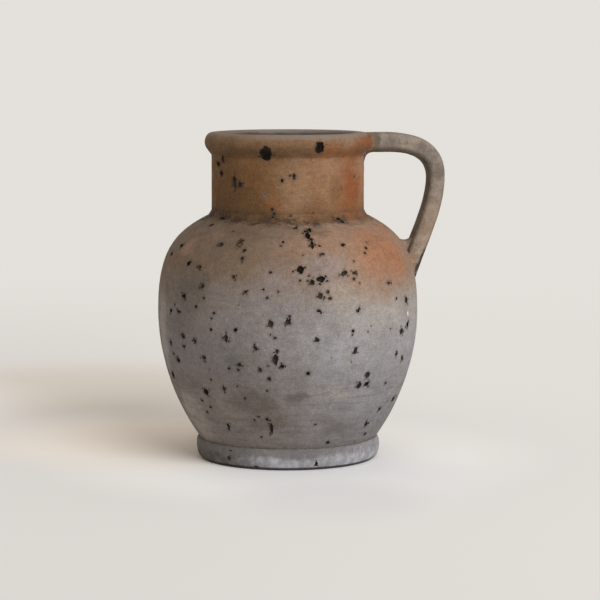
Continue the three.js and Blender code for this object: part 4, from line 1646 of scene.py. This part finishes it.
def strap_tree():
    """Sweeps the strap's section along a line, and swells it where it comes near the jar."""
    bench, given = new_tree(
        "pulled_strap",
        Float=["Thickness", "Width", "Edge Round", "Flare", "Highest", "Grain", "Corner"],
        Object=["Jar", "Cut"],
        Material=["Clay"],
    )
    strap = bench.swept(given["Geometry"], ACROSS_STRAP, strap_section(bench, given))
    jar = bench.of_object(given["Jar"])
    near = bench.add("GeometryNodeProximity", {"Geometry": jar}, out="Distance")
    normal = bench.add("GeometryNodeInputNormal")
    place = bench.add("GeometryNodeInputPosition")
    across, deep, height = bench.parts(place)
    flare = bench.times(given["Flare"], bench.fade(height, *FLARE_HEIGHTS, LOW_FLARE_SHARE))
    strap = bench.moved(strap, Position=swollen_round(bench, place, normal, flare, near))
    fine = bench.times(given["Grain"], STRAP_GRAIN_SHARE)
    strap = worn(bench, strap, normal, given["Grain"], fine)
    held = bench.maths("MINIMUM", height, given["Highest"])
    held = bench.add("ShaderNodeCombineXYZ", {0: across, 1: deep, 2: held})
    strap = bench.moved(strap, Position=held)
    strap = bench.carved(strap, bench.of_object(given["Cut"]))
    strap = bench.faced(strap, given["Clay"])
    strap = bench.add("GeometryNodeRealizeInstances", {"Geometry": strap})
    strap = bench.stored(strap, "near_jar", bench.fade(near, *NEAR_JAR))
    return close_tree(bench, sharpen(bench, strap, given["Corner"]))


def handle_piece(jar, cut):
    line = spaced(handle_line(), STRAP_STEP)
    points = [(x * MM, 0, z * MM) for x, z in line]
    carrier = line_of("pulled_handle", points, strap_fullness(line))
    dress(
        carrier,
        strap_tree(),
        thickness=STRAP_THICKNESS * MM,
        width=STRAP_WIDTH * MM,
        edge_round=STRAP_CORNER * MM,
        flare=ROOT_FLARE * MM,
        highest=(JAR_HEIGHT - STRAP_BELOW_LIP) * MM,
        grain=STRAP_UNEVENNESS * MM,
        jar=jar,
        cut=cut,
        clay=CLAYS["handle_clay"],
        corner=SHARP_CORNER,
    )
    return settle(carrier, "pulled_handle")


# Wads pressed into the corners between the strap and the jar
OUT_OF_WAD = (1, 0, 0)
WAD_UNEVENNESS = 0.3
WAD_GRAIN = 0.2
THINNEST_WAD = 0.06

# A wad: its corner, how far it reaches along both sides of it, and how much of the jar's colour
Wad = namedtuple("Wad", "corner along_jar along_strap hollow half_width blended")


def wad_tree():
    """Sweeps a wad's section along the corner that it fills, thinner towards its ends."""
    bench, given = new_tree(
        "pressed_wad",
        Float=["Unevenness", "Grain", "Blended", "Corner"],
        Object=["Section"],
        Material=["Clay"],
    )
    section = bench.add("GeometryNodeMeshToCurve", {0: bench.of_object(given["Section"])})
    wad = bench.swept(given["Geometry"], OUT_OF_WAD, section)
    normal = bench.add("GeometryNodeInputNormal")
    wad = worn(bench, wad, normal, given["Unevenness"], given["Grain"])
    wad = bench.stored(wad, "near_jar", given["Blended"])
    wad = bench.faced(wad, given["Clay"])
    return close_tree(bench, sharpen(bench, wad, given["Corner"]))


def crotch(leg):
    """Where the strap's inner face meets the shoulder, and a leg's length along each of them."""
    line = spaced(handle_line(), CROTCH_STEP)
    half = STRAP_THICKNESS / 2 * strap_fullness(line)
    face = shifted(line, half[:, None])
    outside = [x > radius_at(WALL_OUTLINE, z) and z < NECK_FOOT_HEIGHT for x, z in face]
    last = max(index for index, out in enumerate(outside) if out)
    corner = face[last]
    steps = round(leg / CROTCH_STEP)
    up_strap = face[last - steps] - corner
    wall = spaced(UPPER, CROTCH_STEP)
    nearest = int(np.argmin(np.linalg.norm(wall - corner, axis=1)))
    up_wall = wall[nearest + steps] - corner
    return corner, up_wall, up_strap


def wad_section(wad):
    """A hollow-faced wedge with its corner at (0, 0), sunk a little into both sides."""
    legs = [np.array(leg, float) for leg in (wad.along_jar, wad.along_strap)]
    ways = [leg / np.linalg.norm(leg) for leg in legs]
    face = bezier(legs[0], legs[0] * wad.hollow, legs[1] * wad.hollow, legs[1], WAD_FACE_STEPS)
    sunk = -WAD_SINK * (ways[0] + ways[1])
    ends = [legs[0] - WAD_SINK * ways[1], legs[1] - WAD_SINK * ways[0]]
    points = [(x * MM, -z * MM, 0) for x, z in np.vstack([sunk, ends[0], face, ends[1]])]
    count = len(points)
    return carrier_of("section", points, [(i, (i + 1) % count) for i in range(count)])


def wad_line(wad):
    """The wad's line across the strap and round its edges, and how full it is along it."""
    away = np.array(wad.along_strap) / np.linalg.norm(wad.along_strap)
    path = []
    fullness = []
    for turn in np.linspace(-math.pi / 2, math.pi / 2, 2 * WAD_STEPS + 1):
        side = wad.half_width * math.sin(turn)
        beyond = max(0, abs(side) - (STRAP_WIDTH / 2 - STRAP_CORNER))
        rise = STRAP_CORNER - math.sqrt(max(0, STRAP_CORNER**2 - beyond**2))
        out = math.sqrt(wad.corner[0] ** 2 - side**2) - rise * away[1]
        height = wad.corner[1] + rise * away[0]
        path.append((out * MM, side * MM, height * MM))
        fullness.append(max(THINNEST_WAD, math.cos(turn)))
    return path, fullness


def wad_piece(name, wad):
    section = wad_section(wad)
    carrier = line_of(name, *wad_line(wad))
    dress(
        carrier,
        WADDING,
        section=section,
        unevenness=WAD_UNEVENNESS * MM,
        grain=WAD_GRAIN * MM,
        blended=wad.blended,
        clay=CLAYS["handle_clay"],
        corner=SHARP_CORNER,
    )
    piece = settle(carrier, name)
    bpy.data.objects.remove(section)
    return piece


# Studio. Lamps turn in degrees from the handle's side; lengths on the floor are metres

Lamp = namedtuple("Lamp", "name strength softness turn height")
LAMPS = [Lamp("window", 1.75, 40, -64, 29.5), Lamp("wide_window", 0.55, 90, -60, 50)]

AMBIENT = 0.5
AMBIENT_TINT = (1.0, 0.89, 0.78, 1.0)
BACKDROP = srgb(228, 224, 219)
FLOOR = srgb(230, 232, 233)
# Painted light on the floor: lighter towards the window and round the jar
FLOOR_PAINTED_WINDOW_LIGHT = srgb(236, 238, 239)
FLOOR_PAINTED_LIGHT_ROUND_JAR = srgb(252, 253, 253)
# Painted light and shadow in patches on the floor: lighter and warmer in the jar's shadow and at the
# left, darker behind the jar and in front of it
FLOOR_PAINTED_LIGHT_IN_SHADOW = srgb(248, 243, 236)
FLOOR_PAINTED_SHADOW_BEHIND = srgb(226, 223, 217)
FLOOR_PAINTED_LIGHT_AT_LEFT = srgb(247, 248, 249)
FLOOR_PAINTED_SHADOW_IN_FRONT = srgb(238, 241, 245)
FLOOR_PAINTED_SHADOW_FORWARD = srgb(229, 232, 235)
FLOOR_RADIUS = 40
FLOOR_CORNERS = 96
INTO_BACKDROP = (0.7, 1.7)
TOWARDS_WINDOW = (-0.25, 0.25)
ROUND_JAR = (0.26, 0.1)

# A patch of painted light and shadow on the floor, which is full within this share of its reach
Tint = namedtuple("Tint", "centre reach colour")
TINT_CORE = 0.3
FLOOR_PAINTED_LIGHT_AND_SHADOW = [
    Tint((-0.17, 0.42, 0), 0.27, FLOOR_PAINTED_SHADOW_BEHIND),
    Tint((-0.12, 0.1, 0), 0.2, FLOOR_PAINTED_LIGHT_IN_SHADOW),
    Tint((-0.42, 0.34, 0), 0.26, FLOOR_PAINTED_LIGHT_AT_LEFT),
    Tint((0.03, -0.13, 0), 0.17, FLOOR_PAINTED_SHADOW_IN_FRONT),
    Tint((0.01, -0.21, 0), 0.11, FLOOR_PAINTED_SHADOW_FORWARD),
]


def aimed_sun(lamp):
    data = bpy.data.lights.new(lamp.name, "SUN")
    data.energy = lamp.strength
    data.angle = math.radians(lamp.softness)
    sun = bpy.data.objects.new(lamp.name, data)
    turn, height = math.radians(lamp.turn), math.radians(lamp.height)
    towards = Vector(
        (math.cos(turn) * math.cos(height), math.sin(turn) * math.cos(height), math.sin(height))
    )
    sun.rotation_euler = towards.to_track_quat("Z", "Y").to_euler()
    bpy.context.scene.collection.objects.link(sun)


def shown_directly(bench):
    """One where a ray comes straight from the camera, or through gloss or glass."""
    path = bench.add("ShaderNodeLightPath", out=None).outputs
    seen = bench.maths("MAXIMUM", path["Is Camera Ray"], path["Is Glossy Ray"])
    return bench.maths("MAXIMUM", seen, path["Is Transmission Ray"])


def make_world():
    world = bpy.data.worlds.new("studio")
    bpy.context.scene.world = world
    world.use_nodes = True
    world.node_tree.nodes.clear()
    bench = Bench(world.node_tree)
    soft = bench.add("ShaderNodeBackground", {"Color": AMBIENT_TINT, "Strength": AMBIENT})
    pale = bench.add("ShaderNodeBackground", {"Color": BACKDROP, "Strength": 1.0})
    mixed = bench.add("ShaderNodeMixShader", {0: shown_directly(bench), 1: soft, 2: pale})
    bench.add("ShaderNodeOutputWorld", {0: mixed}, out=None)


def floor_material():
    """A pale floor with painted light towards the window and round the jar and painted light and
    shadow in patches, that fades into the backdrop far away.
    """
    material, bench = new_material("pale_floor")
    place = bench.add("ShaderNodeTexCoord", out="Object")
    away = bench.length(place)
    painted_window_light = bench.spread(bench.parts(place)[0], *TOWARDS_WINDOW)
    colour = bench.blend(painted_window_light, FLOOR, FLOOR_PAINTED_WINDOW_LIGHT)
    colour = bench.blend(bench.spread(away, *ROUND_JAR), colour, FLOOR_PAINTED_LIGHT_ROUND_JAR)
    # painted light and shadow in patches
    for tint in FLOOR_PAINTED_LIGHT_AND_SHADOW:
        from_centre = bench.length(bench.vector_maths("SUBTRACT", place, tint.centre))
        share = bench.spread(from_centre, tint.reach, tint.reach * TINT_CORE)
        colour = bench.blend(share, colour, tint.colour)
    near = bench.add("ShaderNodeBsdfDiffuse", {"Color": colour})
    far = bench.add("ShaderNodeEmission", {"Color": BACKDROP, "Strength": 1.0})
    share = bench.times(bench.spread(away, *INTO_BACKDROP), shown_directly(bench))
    mixed = bench.add("ShaderNodeMixShader", {0: share, 1: near, 2: far})
    bench.add("ShaderNodeOutputMaterial", {0: mixed}, out=None)
    return material


def make_floor():
    turns = [i * math.tau / FLOOR_CORNERS for i in range(FLOOR_CORNERS)]
    corners = [(FLOOR_RADIUS * math.cos(turn), FLOOR_RADIUS * math.sin(turn), 0) for turn in turns]
    mesh = bpy.data.meshes.new("floor")
    mesh.from_pydata(corners, [], [list(range(FLOOR_CORNERS))])
    mesh.materials.append(floor_material())
    floor = bpy.data.objects.new("floor", mesh)
    bpy.context.scene.collection.objects.link(floor)


def place_piece(piece, node):
    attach(piece, "root")
    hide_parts(node)


camera = make_camera()
pit_map = make_pit_map(camera)
jar_core = core_object("jar_core", -FLARE_SINK)
cut_core = core_object("cut_core", -ROOT_DEPTH)

WADDING = wad_tree()
RIM_WAD = Wad((69.0, 272.4), (-1.0, -8.5), (8.5, 0.0), RIM_WAD_HOLLOW, 11, 0.3)
SHOULDER_WAD = Wad(*crotch(SHOULDER_WAD_LEG), SHOULDER_WAD_HOLLOW, 10, 0.5)
for turned in TURNED_PIECES:
    place_piece(turned_piece(turned, pit_map), turned.node)
place_piece(handle_piece(jar_core, cut_core), "handle_strap")
for guide in (pit_map, jar_core, cut_core):
    bpy.data.objects.remove(guide)
rim_wad = wad_piece("rim_wad", RIM_WAD)
shoulder_wad = wad_piece("shoulder_wad", SHOULDER_WAD)
place_piece(rim_wad, "handle_rim_wad")
place_piece(shoulder_wad, "handle_shoulder_wad")

make_world()
make_floor()
for lamp in LAMPS:
    aimed_sun(lamp)
bpy.context.scene.view_settings.view_transform = "Standard"
